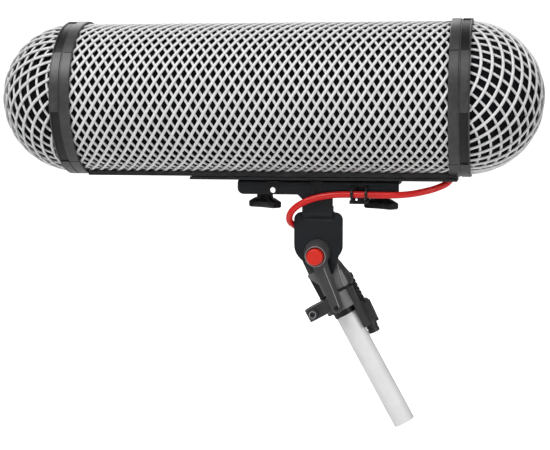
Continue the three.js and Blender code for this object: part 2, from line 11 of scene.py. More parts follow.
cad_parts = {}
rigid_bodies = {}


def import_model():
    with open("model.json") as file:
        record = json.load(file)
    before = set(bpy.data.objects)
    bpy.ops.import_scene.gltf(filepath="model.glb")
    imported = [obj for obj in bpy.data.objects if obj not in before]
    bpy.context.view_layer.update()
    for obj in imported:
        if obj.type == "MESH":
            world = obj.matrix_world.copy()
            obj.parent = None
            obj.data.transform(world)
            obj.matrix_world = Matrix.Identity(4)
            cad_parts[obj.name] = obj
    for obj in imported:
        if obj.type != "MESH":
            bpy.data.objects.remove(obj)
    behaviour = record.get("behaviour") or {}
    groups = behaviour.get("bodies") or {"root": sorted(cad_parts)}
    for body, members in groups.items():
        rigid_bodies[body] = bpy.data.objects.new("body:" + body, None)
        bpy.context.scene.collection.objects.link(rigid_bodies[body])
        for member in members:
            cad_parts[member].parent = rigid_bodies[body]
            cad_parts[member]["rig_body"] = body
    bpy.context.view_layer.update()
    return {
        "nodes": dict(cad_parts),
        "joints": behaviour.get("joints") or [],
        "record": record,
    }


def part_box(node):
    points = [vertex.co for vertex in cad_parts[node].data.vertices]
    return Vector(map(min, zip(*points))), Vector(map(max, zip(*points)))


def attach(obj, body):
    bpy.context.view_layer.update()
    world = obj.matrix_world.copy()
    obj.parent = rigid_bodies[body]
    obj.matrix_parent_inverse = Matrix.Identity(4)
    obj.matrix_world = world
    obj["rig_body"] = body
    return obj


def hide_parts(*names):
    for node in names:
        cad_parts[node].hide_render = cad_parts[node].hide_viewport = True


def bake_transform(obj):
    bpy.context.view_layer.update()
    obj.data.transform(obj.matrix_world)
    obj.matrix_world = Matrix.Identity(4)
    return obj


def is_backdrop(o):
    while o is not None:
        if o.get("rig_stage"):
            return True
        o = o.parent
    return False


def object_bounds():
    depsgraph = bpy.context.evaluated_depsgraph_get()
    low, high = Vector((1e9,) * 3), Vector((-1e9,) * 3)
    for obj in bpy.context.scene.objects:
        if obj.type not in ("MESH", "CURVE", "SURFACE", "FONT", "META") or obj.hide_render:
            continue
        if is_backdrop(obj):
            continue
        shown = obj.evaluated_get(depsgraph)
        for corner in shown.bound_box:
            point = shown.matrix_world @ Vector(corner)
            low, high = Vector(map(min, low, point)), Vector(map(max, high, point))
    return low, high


bl_info = {
    "name": "Basket windshield",
    "version": (1, 0, 0),
    "blender": (4, 5, 0),
    "location": "3D View > Sidebar > Windshield",
    "description": "Builds the net basket, its bracket, swivel, lead and clamp on the packed frame",
    "category": "Object",
}

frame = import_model()

MM = 0.001
AXIS_X = Vector((1, 0, 0))
AXIS_Y = Vector((0, 1, 0))
AXIS_Z = Vector((0, 0, 1))

ENDS = ("front", "rear")
SIDE = {"front": -1, "rear": 1}


def middle_of(node):
    low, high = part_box(node)
    return (low + high) / 2


CENTRE = middle_of("basket_tube")
TUBE_R = (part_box("basket_tube")[1].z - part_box("basket_tube")[0].z) / 2
TUBE_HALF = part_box("basket_tube")[1].x - CENTRE.x
RING_R = (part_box("rear_tube_ring")[1].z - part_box("rear_tube_ring")[0].z) / 2
CAP_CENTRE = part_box("rear_cap_net")[0].x - CENTRE.x
JOINTS = {joint["name"]: joint for joint in frame["joints"]}
PIVOT = Vector(JOINTS["head_tilt"]["pos_m"])
POLE_AXIS = Vector(frame["record"]["mounts"][0]["axis"]).normalized()
POLE_LEAN = math.atan2(POLE_AXIS.x, -POLE_AXIS.z)
# the clamp's frame has z up the pole and its origin at the collar's lower face
CLAMP = Matrix.Rotation(-POLE_LEAN, 4, "Y")
HEAD = Matrix.Translation(CENTRE)
UPRIGHT = Matrix.Rotation(math.pi / 2, 4, "X")


# ---------------------------------------------------------------- settings


def colour_setting(name, description, default):
    return FloatVectorProperty(name=name, description=description, default=default, subtype="COLOR", size=3,
                               min=0, max=1)


class NetSettings(bpy.types.PropertyGroup):
    """Sizes of the moulded net."""

    strands: IntProperty(name="Strands", description="Strands in each family round the tube",
                         default=30, min=8)
    pitch: FloatProperty(name="Pitch", description="Distance between strands along the tube",
                         default=6.35 * MM, unit="LENGTH")
    outer_width: FloatProperty(name="Outer width", description="Width of an outer strand",
                               default=2.0 * MM, unit="LENGTH")
    inner_width: FloatProperty(name="Inner width", description="Width of an inner strand",
                               default=1.75 * MM, unit="LENGTH")
    depth: FloatProperty(name="Depth", description="Thickness of one strand", default=1.5 * MM, unit="LENGTH")
    cap_cell: FloatProperty(name="Cap cell", description="Length of a net cell on the caps",
                            default=8.8 * MM, unit="LENGTH")
    colour: colour_setting("Net colour", "Colour of the moulded net", (0.80, 0.80, 0.80))


class FinishSettings(bpy.types.PropertyGroup):
    """Colours of the other finishes."""

    ring: colour_setting("Ring colour", "Colour of the bayonet rings", (0.036, 0.036, 0.037))
    steel: colour_setting("Coated steel", "Colour of the powder coated bracket", (0.0065, 0.009, 0.012))
    cast: colour_setting("Swivel colour", "Colour of the moulded swivel", (0.024, 0.024, 0.025))
    lead: colour_setting("Lead colour", "Colour of the lead's jacket", (0.72, 0.009, 0.007))
    button: colour_setting("Button colour", "Colour of the lever's button", (0.72, 0.016, 0.004))
    pole: colour_setting("Pole colour", "Colour of the pole section", (0.84, 0.84, 0.85))


class StageSettings(bpy.types.PropertyGroup):
    """The camera and the studio."""

    distance: FloatProperty(name="Distance", description="Camera distance from the basket's middle",
                            default=0.959, unit="LENGTH")
    yaw: FloatProperty(name="Yaw", description="Camera angle about the vertical",
                       default=math.radians(10.0), subtype="ANGLE")
    focal: FloatProperty(name="Focal length", description="Lens focal length in millimetres", default=93.8)


# ---------------------------------------------------------------- mesh helpers


def add_object(name, data):
    """Links new data into the scene as an object."""
    item = bpy.data.objects.new(name, data)
    bpy.context.scene.collection.objects.link(item)
    return item


def mesh_of(bm, name):
    """Turns a bmesh into a mesh, and frees it."""
    mesh = bpy.data.meshes.new(name)
    bm.to_mesh(mesh)
    bm.free()
    return mesh


def finish_mesh(bm, name, material, body, smooth_angle=0.6, replaces=(), ride=True):
    """Makes the bmesh an object at the origin that rides on a body and stands for CAD nodes."""
    bmesh.ops.remove_doubles(bm, verts=bm.verts, dist=1e-6)
    bmesh.ops.recalc_face_normals(bm, faces=bm.faces)
    mesh = mesh_of(bm, name)
    mesh.polygons.foreach_set("use_smooth", [True] * len(mesh.polygons))
    if smooth_angle:
        mesh.set_sharp_from_angle(angle=smooth_angle)
    for item in material if isinstance(material, list) else [material]:
        mesh.materials.append(item)
    piece = add_object(name, mesh)
    if replaces:
        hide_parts(*replaces)
    if ride:
        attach(piece, body)
    return piece


def section_ring(bm, width, depth, sides, place):
    """A flattened ring of vertices with its edges, put in place by a matrix."""
    made = bmesh.ops.create_circle(bm, cap_ends=False, segments=sides, radius=0.5,
                                   matrix=place @ Matrix.Diagonal((width, depth, 1, 1)))
    verts = made["verts"]
    edges = list({edge for vert in verts for edge in vert.link_edges})
    return verts, edges


def frame_at(point, along, out):
    """A matrix whose z runs along a strand and whose y points out."""
    z = along.normalized()
    x = out.cross(z).normalized()
    y = z.cross(x)
    return Matrix.Translation(point) @ Matrix((x, y, z)).transposed().to_4x4()


def sweep(bm, points, outs, width, depth, sides):
    """A closed strand that follows points, with its flat side facing out."""
    count = len(points)
    alongs = [points[min(i + 1, count - 1)] - points[max(i - 1, 0)] for i in range(count)]
    places = [frame_at(points[i], alongs[i], outs[i]) for i in range(count)]
    verts, edges = section_ring(bm, width, depth, sides, places[0])
    first = list(edges)
    for before, after in zip(places, places[1:]):
        made = bmesh.ops.extrude_edge_only(bm, edges=edges)["geom"]
        verts = [item for item in made if isinstance(item, bmesh.types.BMVert)]
        edges = [item for item in made if isinstance(item, bmesh.types.BMEdge)]
        bmesh.ops.transform(bm, matrix=after @ before.inverted(), verts=verts)
    bmesh.ops.holes_fill(bm, edges=first + edges, sides=sides)


def paint_new(bm, known):
    """Puts the piece's second finish on every face that isn't among the known ones."""
    for face in bm.faces:
        if face not in known:
            face.material_index = 1


def highlight_line(bm, points, out, width, depth):
    """A thin raised line in the piece's second finish, its flat side facing out, used as a painted highlight
    along an edge.
    """
    known = set(bm.faces)
    sweep(bm, points, [out] * len(points), width, depth, 6)
    paint_new(bm, known)


def highlight_ring(bm, place, radius, width):
    """A round raised line in x and z, in the piece's second finish, used as a painted highlight round a rim.
    """
    known = set(bm.faces)
    half = width / 2
    section = [(0, radius - half), (-0.25 * width, radius - half * 0.6), (-0.4 * width, radius),
               (-0.25 * width, radius + half * 0.6), (0, radius + half), (0.3 * width, radius)]
    centre = place @ Vector((0, 0, 0))
    axis = (place.to_3x3() @ AXIS_Y).normalized()
    lathe(bm, section, 48, axis=axis, centre=centre)
    paint_new(bm, known)


def lathe(bm, profile, steps=128, axis=AXIS_X, centre=Vector((0, 0, 0)), angle=2 * math.pi, start=0.0):
    """Turns a closed outline of (along, radius) points about an axis, whole or as a closed sector."""
    out = AXIS_Z if abs(axis.z) < 0.5 else AXIS_X
    out = Matrix.Rotation(start, 3, axis) @ out
    verts = [bm.verts.new(centre + axis * along + out * radius) for along, radius in profile]
    whole = abs(angle - 2 * math.pi) < 1e-6
    on_axis = min(radius for _, radius in profile) < 1e-9
    if whole:
        pairs = list(zip(verts, verts[1:] + ([] if on_axis else verts[:1])))
        edges = [bm.edges.new(pair) for pair in pairs]
        bmesh.ops.spin(bm, geom=verts + edges, cent=centre, axis=axis, angle=angle, steps=steps,
                       use_merge=True)
    else:
        face = bm.faces.new(verts)
        bmesh.ops.spin(bm, geom=[face], cent=centre, axis=axis, angle=angle, steps=steps,
                       use_merge=False)
    bmesh.ops.remove_doubles(bm, verts=bm.verts, dist=1e-7)


def arc(x, z, radius, start, end, steps):
    """Points round an arc, with its angles in degrees."""
    turns = [math.radians(start + (end - start) * i / steps) for i in range(steps + 1)]
    return [(x + radius * math.cos(turn), z + radius * math.sin(turn)) for turn in turns]


def prism(bm, outline, low, high, place=Matrix(), bevel=0.0):
    """An outline in x and z pushed along y, all in millimetres, with its rims rounded, then put in place."""
    verts = [bm.verts.new((x * MM, low * MM, z * MM)) for x, z in outline]
    face = bm.faces.new(verts)
    made = bmesh.ops.extrude_face_region(bm, geom=[face])["geom"]
    moved = [item for item in made if isinstance(item, bmesh.types.BMVert)]
    bmesh.ops.translate(bm, verts=moved, vec=(0, (high - low) * MM, 0))
    every = verts + moved
    bmesh.ops.recalc_face_normals(bm, faces=list({face for vert in every for face in vert.link_faces}))
    if bevel:
        rims = {edge for vert in every for edge in vert.link_edges
                if abs(edge.verts[0].co.y - edge.verts[1].co.y) < 1e-9}
        grown = bmesh.ops.bevel(bm, geom=list(rims), offset=bevel * MM, offset_type="OFFSET", segments=2,
                                profile=0.5, affect="EDGES", material=-1)
        rounded = {vert for face in grown["faces"] for vert in face.verts}
        every = list(rounded | {vert for vert in every if vert.is_valid})
    bmesh.ops.transform(bm, matrix=place, verts=every)


def hole(bm, radius, x, z, low, high):
    """A cutter: a plain round bar along y, in millimetres."""
    place = Matrix.Translation(Vector((x, (low + high) / 2, z)) * MM) @ UPRIGHT
    bmesh.ops.create_cone(bm, cap_ends=True, segments=24, radius1=radius * MM, radius2=radius * MM,
                          depth=(high - low) * MM, matrix=place)


def stacked(bm, outline, places):
    """Carries a closed outline of points through a row of places, and closes both ends."""
    verts = [bm.verts.new(places[0] @ Vector(point)) for point in outline]
    edges = [bm.edges.new(pair) for pair in zip(verts, verts[1:] + verts[:1])]
    first = list(edges)
    for before, after in zip(places, places[1:]):
        made = bmesh.ops.extrude_edge_only(bm, edges=edges)["geom"]
        verts = [item for item in made if isinstance(item, bmesh.types.BMVert)]
        edges = [item for item in made if isinstance(item, bmesh.types.BMEdge)]
        edges = [edge for edge in edges if edge.verts[0] in verts and edge.verts[1] in verts]
        bmesh.ops.transform(bm, matrix=after @ before.inverted(), verts=verts)
    bmesh.ops.holes_fill(bm, edges=first + edges, sides=0)


def lofted(bm, sections):
    """A closed solid through a row of outlines that have the same number of points."""
    loops = []
    for section in sections:
        verts = [bm.verts.new(point) for point in section]
        loops.append([bm.edges.new(pair) for pair in zip(verts, verts[1:] + verts[:1])])
    for lower, upper in zip(loops, loops[1:]):
        bmesh.ops.bridge_loops(bm, edges=lower + upper)
    bmesh.ops.holes_fill(bm, edges=loops[0] + loops[-1], sides=0)


def round_points(sides):
    """Points round a circle of x and z, one millimetre in radius."""
    return [(x, 0, z) for x, z in arc(0, 0, MM, 0, 360 - 360 / sides, sides - 1)]


def turned(bm, place, profile, sides=32):
    """A round solid about the place's y axis, through levels of (y, radius) in millimetres."""
    stacked(bm, round_points(sides),
            [place @ Matrix.Translation((0, y * MM, 0)) @ Matrix.Diagonal((radius, 1, radius, 1))
             for y, radius in profile])


def placed(place, points):
    """Points given in millimetres, put in place."""
    return [place @ (Vector(point) * MM) for point in points]


def block(bm, x, y, z, place=Matrix(), bevel=0.2):
    """A box between limits given in millimetres, with rounded edges."""
    prism(bm, [(x[0], z[0]), (x[1], z[0]), (x[1], z[1]), (x[0], z[1])], y[0], y[1], place, bevel)


def carved(bm, cutters):
    """Cuts the cutters out of a solid, and gives back the solid."""
    for part in (bm, cutters):
        bmesh.ops.recalc_face_normals(part, faces=part.faces)
    body = add_object("carved body", mesh_of(bm, "carved body"))
    tool = add_object("carving tool", mesh_of(cutters, "carving tool"))
    modifier = body.modifiers.new("carve", "BOOLEAN")
    modifier.operation = "DIFFERENCE"
    modifier.solver = "EXACT"
    modifier.use_self = True
    modifier.object = tool
    result = bmesh.new()
    result.from_mesh(body.evaluated_get(bpy.context.evaluated_depsgraph_get()).to_mesh())
    for item in (body, tool):
        mesh = item.data
        bpy.data.objects.remove(item)
        bpy.data.meshes.remove(mesh)
    return result


def soften(piece, width, angle=40):
    """Rounds a piece's sharp edges."""
    rounding = piece.modifiers.new("rounded edges", "BEVEL")
    rounding.width = width
    rounding.segments = 2
    rounding.limit_method = "ANGLE"
    rounding.angle_limit = math.radians(angle)
    return piece


def smooth_path(points, steps=6):
    """Points on a smooth curve through the given ones."""
    found = []
    whole = [points[0] * 2 - points[1]] + points + [points[-1] * 2 - points[-2]]
    for a, b, c, d in zip(whole, whole[1:], whole[2:], whole[3:]):
        for i in range(steps):
            t = i / steps
            found.append(0.5 * (2 * b + (c - a) * t + (2 * a - 5 * b + 4 * c - d) * t * t
                                + (3 * b - a - 3 * c + d) * t * t * t))
    return found + [points[-1]]


def refined(node, material, bevel, extras=None, cutters=None):
    """A CAD node's own shape with its loose triangles merged, its edges rounded and details added."""
    source = frame["nodes"][node]
    bm = bmesh.new()
    bm.from_mesh(source.data)
    bmesh.ops.remove_doubles(bm, verts=bm.verts, dist=1e-6)
    bmesh.ops.dissolve_limit(bm, angle_limit=math.radians(1.5), verts=bm.verts, edges=bm.edges)
    if cutters:
        tool = bmesh.new()
        cutters(tool)
        bm = carved(bm, tool)
    if extras:
        extras(bm)
    piece = finish_mesh(bm, node + "_finished", material, source["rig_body"], 0.7, [node])
    return soften(piece, bevel)


# ---------------------------------------------------------------- shader groups


def group_of(name, inputs, outputs):
    """An empty shader node group with named sockets."""
    tree = bpy.data.node_groups.new(name, "ShaderNodeTree")
    for label, kind, value in inputs:
        socket = tree.interface.new_socket(name=label, in_out="INPUT", socket_type=kind)
        socket.default_value = value
    for label, kind in outputs:
        tree.interface.new_socket(name=label, in_out="OUTPUT", socket_type=kind)
    return tree, tree.nodes.new("NodeGroupInput"), tree.nodes.new("NodeGroupOutput")


def linked(tree, kind, values=None, **sources):
    """A node with its settings, and links into its named or numbered inputs."""
    node = tree.nodes.new(kind)
    for key, value in (values or {}).items():
        if isinstance(key, str) and hasattr(node, key):
            setattr(node, key, value)
        else:
            node.inputs[key].default_value = value
    for key, source in sources.items():
        tree.links.new(source, node.inputs[int(key[1:]) if key[1:].isdigit() else key])
    return node


def make_grain_group():
    """Fine moulded or sprayed grain, as a height and a value that shifts the colour and roughness."""
    tree, source, result = group_of(
        "Fine grain",
        [("Scale", "NodeSocketFloat", 1800.0), ("Blotch scale", "NodeSocketFloat", 60.0)],
        [("Height", "NodeSocketFloat"), ("Shift", "NodeSocketFloat")],
    )
    place = tree.nodes.new("ShaderNodeTexCoord").outputs["Object"]
    fine = linked(tree, "ShaderNodeTexNoise", {"Detail": 2.0, "Roughness": 0.6},
                  Vector=place, Scale=source.outputs["Scale"])
    blotch = linked(tree, "ShaderNodeTexNoise", {"Detail": 3.0, "Roughness": 0.55},
                    Vector=place, Scale=source.outputs["Blotch scale"])
    tree.links.new(fine.outputs["Fac"], result.inputs["Height"])
    tree.links.new(blotch.outputs["Fac"], result.inputs["Shift"])
    return tree


def make_wear_group():
    """A mask of worn convex edges."""
    tree, source, result = group_of(
        "Edge wear",
        [("Radius", "NodeSocketFloat", 0.0006), ("Amount", "NodeSocketFloat", 0.5)],
        [("Mask", "NodeSocketFloat")],
    )
    place = tree.nodes.new("ShaderNodeTexCoord").outputs["Object"]
    geometry = tree.nodes.new("ShaderNodeNewGeometry")
    edge = linked(tree, "ShaderNodeMapRange", {1: 0.505, 2: 0.60}, _0=geometry.outputs["Pointiness"])
    noise = linked(tree, "ShaderNodeTexNoise", {"Scale": 240.0, "Detail": 4.0}, Vector=place)
    broken = linked(tree, "ShaderNodeMapRange", {1: 0.42, 2: 0.62}, _0=noise.outputs["Fac"])
    both = linked(tree, "ShaderNodeMath", {"operation": "MULTIPLY"}, _0=edge.outputs[0],
                  _1=broken.outputs[0])
    scaled = linked(tree, "ShaderNodeMath", {"operation": "MULTIPLY"}, _0=both.outputs[0],
                    _1=source.outputs["Amount"])
    tree.links.new(scaled.outputs[0], result.inputs["Mask"])
    return tree


GROUPS = {}


def shared_group(name):
    makers = {"Fine grain": make_grain_group, "Edge wear": make_wear_group}
    if name not in GROUPS:
        GROUPS[name] = makers[name]()
    return GROUPS[name]


def placed_group(tree, name, **values):
    node = tree.nodes.new("ShaderNodeGroup")
    node.node_tree = shared_group(name)
    for key, value in values.items():
        node.inputs[key.replace("_", " ")].default_value = value
    return node


MATERIALS = {}


def coated(name, colour, roughness, lighter=1.35, grain=1800.0, bump=0.25, bump_depth=0.05 * MM,
           wear=0.0, metallic=0.0, coat=0.0, specular=0.5, rough_spread=0.12, blotch=60.0):
    """A finish with fine grain, slight colour drift, roughness drift and worn edges."""
    if name in MATERIALS:
        return MATERIALS[name]
    material = bpy.data.materials.new(name)
    material.use_nodes = True
    tree = material.node_tree
    shader = tree.nodes["Principled BSDF"]
    shader.inputs["Metallic"].default_value = metallic
    shader.inputs["Coat Weight"].default_value = coat
    shader.inputs["Specular IOR Level"].default_value = specular
    texture = placed_group(tree, "Fine grain", Scale=grain, Blotch_scale=blotch)
    shift = texture.outputs["Shift"]
    dark = [channel * 0.88 for channel in colour] + [1]
    light = [min(1, channel * 1.1 + 0.002) for channel in colour] + [1]
    mixed = linked(tree, "ShaderNodeMix", {"data_type": "RGBA"})
    mixed.inputs[6].default_value = dark
    mixed.inputs[7].default_value = light
    tree.links.new(shift, mixed.inputs[0])
    base = mixed.outputs[2]
    if wear:
        worn = placed_group(tree, "Edge wear", Amount=wear)
        edge = linked(tree, "ShaderNodeMix", {"data_type": "RGBA"})
        edge.inputs[7].default_value = [min(1, channel * lighter + 0.04) for channel in colour] + [1]
        tree.links.new(worn.outputs["Mask"], edge.inputs[0])
        tree.links.new(base, edge.inputs[6])
        base = edge.outputs[2]
    tree.links.new(base, shader.inputs["Base Color"])
    rough = linked(tree, "ShaderNodeMapRange", {3: roughness - rough_spread, 4: roughness + rough_spread},
                   _0=shift)
    tree.links.new(rough.outputs[0], shader.inputs["Roughness"])
    relief = linked(tree, "ShaderNodeBump", {"Strength": bump, "Distance": bump_depth},
                    Height=texture.outputs["Height"])
    tree.links.new(relief.outputs["Normal"], shader.inputs["Normal"])
    MATERIALS[name] = material
    return material


def net_material():
    colour = bpy.context.scene.windshield_net.colour
    return coated("moulded net", colour, 0.42, grain=900.0, bump=0.3, bump_depth=0.06 * MM, blotch=120.0)


def finishes():
    return bpy.context.scene.windshield_finish


def ring_material():
    return coated("ring plastic", finishes().ring, 0.38, wear=0.35, grain=1500.0, bump=0.2)


def rail_material():
    return coated("rail plastic", (0.008, 0.008, 0.009), 0.4, wear=0.3, grain=1500.0, bump=0.2)


def steel_material():
    return coated("powder coat", finishes().steel, 0.5, grain=2600.0, bump=0.6, bump_depth=0.08 * MM,
                  specular=0.3)


def cast_material():
    return coated("swivel grey", finishes().cast, 0.42, grain=2000.0, bump=0.4, bump_depth=0.05 * MM)


# A light grey for raised lines that stand in for glints on edges and rims: painted highlights.
def highlight_material():
    return coated("painted highlight grey", (0.33, 0.335, 0.34), 0.32, grain=1500.0, bump=0.1, rough_spread=0.06)


def lever_material():
    return coated("lever grey", (0.045, 0.045, 0.047), 0.42, grain=2000.0, bump=0.35)


# A lighter copy of the swivel grey, as painted light on the lit faces of the swivel and the collar.
def lit_grey_material():
    return coated("swivel grey painted lit", (0.16, 0.16, 0.162), 0.42, grain=2000.0, bump=0.3)


# Black for the knobs, ties, boot, lyres, discs and clips, and also painted shade in pockets, grooves, gaps
# and behind the bracket's window.
def black_and_shade_material():
    return coated("moulded black", (0.006, 0.006, 0.0065), 0.4, grain=1800.0, bump=0.25, specular=0.35)


def liner_material():
    return coated("liner cloth", (0.006, 0.006, 0.008), 0.9, grain=2500.0, bump=0.9, bump_depth=0.2 * MM,
                  rough_spread=0.05, specular=0.1)


def lead_material():
    return coated("lead jacket", finishes().lead, 0.3, grain=700.0, bump=0.08, rough_spread=0.05)


def button_material():
    return coated("button red", finishes().button, 0.32, grain=1500.0, bump=0.1, rough_spread=0.06)


def pole_material():
    return coated("pole tube", finishes().pole, 0.36, grain=900.0, bump=0.08, rough_spread=0.06)


def bolt_material():
    return coated("blackened steel", (0.045, 0.045, 0.048), 0.35, metallic=0.8, grain=900.0, bump=0.2,
                  wear=0.6, lighter=5.0)


# ---------------------------------------------------------------- operators


class WINDSHIELD_OT_stage(bpy.types.Operator):
    """The camera, the soft studio light and the pale floor"""

    bl_idname = "windshield.stage"
    bl_label = "Stage"

    aim = (4.8, 0, -85)  # in millimetres from the basket's middle
    drop = 0.02
    sweep_radius = 1.2
    half_width = 6
    near, far = -4, 2.5
    wall = 5

    def execute(self, context):
        stage = context.scene.windshield_stage
        self.make_camera(stage)
        self.make_floor()
        self.make_lights()
        context.scene.view_settings.view_transform = "Standard"
        return {"FINISHED"}

    def make_camera(self, stage):
        lens = bpy.data.cameras.new("camera")
        lens.lens = stage.focal
        lens.clip_end = 20
        camera = add_object("camera", lens)
        place = CENTRE + Vector((math.sin(stage.yaw), -math.cos(stage.yaw), 0)) * stage.distance
        aim = CENTRE + Vector(self.aim) * MM
        turn = (aim - place).to_track_quat("-Z", "Y")
        camera.matrix_world = Matrix.Translation(place) @ turn.to_matrix().to_4x4()
        bpy.context.scene.camera = camera

    def make_floor(self):
        """A floor that curves up into a wall, well below and behind the object."""
        bm = bmesh.new()
        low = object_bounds()[0].z - self.drop
        left = -self.half_width
        start = bm.verts.new((left, self.near, low))
        turn = bm.verts.new((left, self.far, low))
        bm.edges.new((start, turn))
        bmesh.ops.spin(bm, geom=[turn], cent=(left, self.far, low + self.sweep_radius), axis=AXIS_X,
                       angle=math.pi / 2, steps=16, use_merge=False)
        bm.verts.ensure_lookup_table()
        top = max(bm.verts, key=lambda vert: vert.co.z)
        bm.edges.new((top, bm.verts.new((left, top.co.y, top.co.z + self.wall))))
        made = bmesh.ops.extrude_edge_only(bm, edges=bm.edges[:])
        across = [item for item in made["geom"] if isinstance(item, bmesh.types.BMVert)]
        bmesh.ops.translate(bm, verts=across, vec=AXIS_X * 2 * self.half_width)
        bmesh.ops.remove_doubles(bm, verts=bm.verts, dist=1e-5)
        for face in bm.faces:
            face.smooth = True
        mesh = mesh_of(bm, "floor")
        material = bpy.data.materials.new("pale floor")
        material.use_nodes = True
        shader = material.node_tree.nodes["Principled BSDF"]
        shader.inputs["Base Color"].default_value = (0.93, 0.93, 0.93, 1)
        shader.inputs["Roughness"].default_value = 0.9
        shader.inputs["Emission Color"].default_value = (1, 1, 1, 1)
        seen = material.node_tree.nodes.new("ShaderNodeLightPath")
        material.node_tree.links.new(seen.outputs["Is Camera Ray"], shader.inputs["Emission Strength"])
        mesh.materials.append(material)
        add_object("floor", mesh)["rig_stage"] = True

    def make_lights(self):
        world = bpy.data.worlds.new("studio")
        bpy.context.scene.world = world
        world.use_nodes = True
        tree = world.node_tree
        background = tree.nodes["Background"]
        seen = tree.nodes.new("ShaderNodeLightPath")
        strength = linked(tree, "ShaderNodeMapRange", {3: 0.24, 4: 1.0}, _0=seen.outputs["Is Camera Ray"])
        tree.links.new(strength.outputs[0], background.inputs["Strength"])
        background.inputs["Color"].default_value = (1, 1, 1, 1)
        self.add_light("key", (-0.35, -0.75, 0.95), 0.7, 11.5)
        self.add_light("fill", (1.0, -0.8, 0.2), 0.5, 3.2)
        self.add_light("back", (-0.2, 0.7, 0.6), 0.7, 3.0)

    def add_light(self, name, place, size, power):
        lamp = bpy.data.lights.new(name, "AREA")
        lamp.shape = "DISK"
        lamp.size = size
        lamp.energy = power
        light = add_object(name, lamp)
        spot = CENTRE + Vector(place)
        turn = (CENTRE - spot).to_track_quat("-Z", "Y")
        light.matrix_world = Matrix.Translation(spot) @ turn.to_matrix().to_4x4()


def net_layers(net):
    """The hand, radius and width of the two families of strands, the outer one first."""
    inner = TUBE_R - net.depth * 1.25
    return ((1, TUBE_R - net.depth / 2, net.outer_width), (-1, inner, net.inner_width))


class WINDSHIELD_OT_tube_net(bpy.types.Operator):
    """The tube's net: two families of helical strands, one over the other"""

    bl_idname = "windshield.tube_net"
    bl_label = "Tube net"

    inset = 0.5 * MM
    steps = 76

    def execute(self, context):
        net = context.scene.windshield_net
        bm = bmesh.new()
        for layer in net_layers(net):
            self.add_family(bm, net, *layer)
        bmesh.ops.translate(bm, verts=bm.verts, vec=CENTRE)
        finish_mesh(bm, "tube_net", net_material(), "basket", 0, ["basket_tube"])
        return {"FINISHED"}

    def add_family(self, bm, net, hand, radius, width):
        lead = net.strands * net.pitch
        reach = 2 * (TUBE_HALF - self.inset)
        angle = hand * 2 * math.pi * reach / lead
        slope = math.atan2(2 * math.pi * radius, lead)
        place = Matrix.Translation((-reach / 2, -radius, 0))
        size = Matrix.Diagonal((width / math.sin(slope), net.depth, 1, 1))
        made = bmesh.ops.create_circle(bm, cap_ends=True, segments=8, radius=0.5, matrix=place @ size)
        face = list({face for vert in made["verts"] for face in vert.link_faces})
        bmesh.ops.spin(bm, geom=face, cent=(0, 0, 0), axis=-AXIS_X, dvec=(reach / self.steps, 0, 0),
                       angle=angle, steps=self.steps, use_merge=False)
        strand = self.connected(made["verts"][0])
        bmesh.ops.spin(bm, geom=strand, cent=(0, 0, 0), axis=AXIS_X, angle=2 * math.pi,
                       steps=net.strands, use_duplicate=True, use_merge=False)
        bmesh.ops.delete(bm, geom=[item for item in strand if isinstance(item, bmesh.types.BMVert)],
                         context="VERTS")

    def connected(self, vert):
        """Every vertex, edge and face joined to one vertex."""
        found, edge_of = {vert}, [vert]
        while edge_of:
            for edge in edge_of.pop().link_edges:
                other = edge.verts[0] if edge.verts[1] in found else edge.verts[1]
                if other not in found:
                    found.add(other)
                    edge_of.append(other)
        edges = {edge for item in found for edge in item.link_edges}
        faces = {face for item in found for face in item.link_faces}
        return list(found) + list(edges) + list(faces)


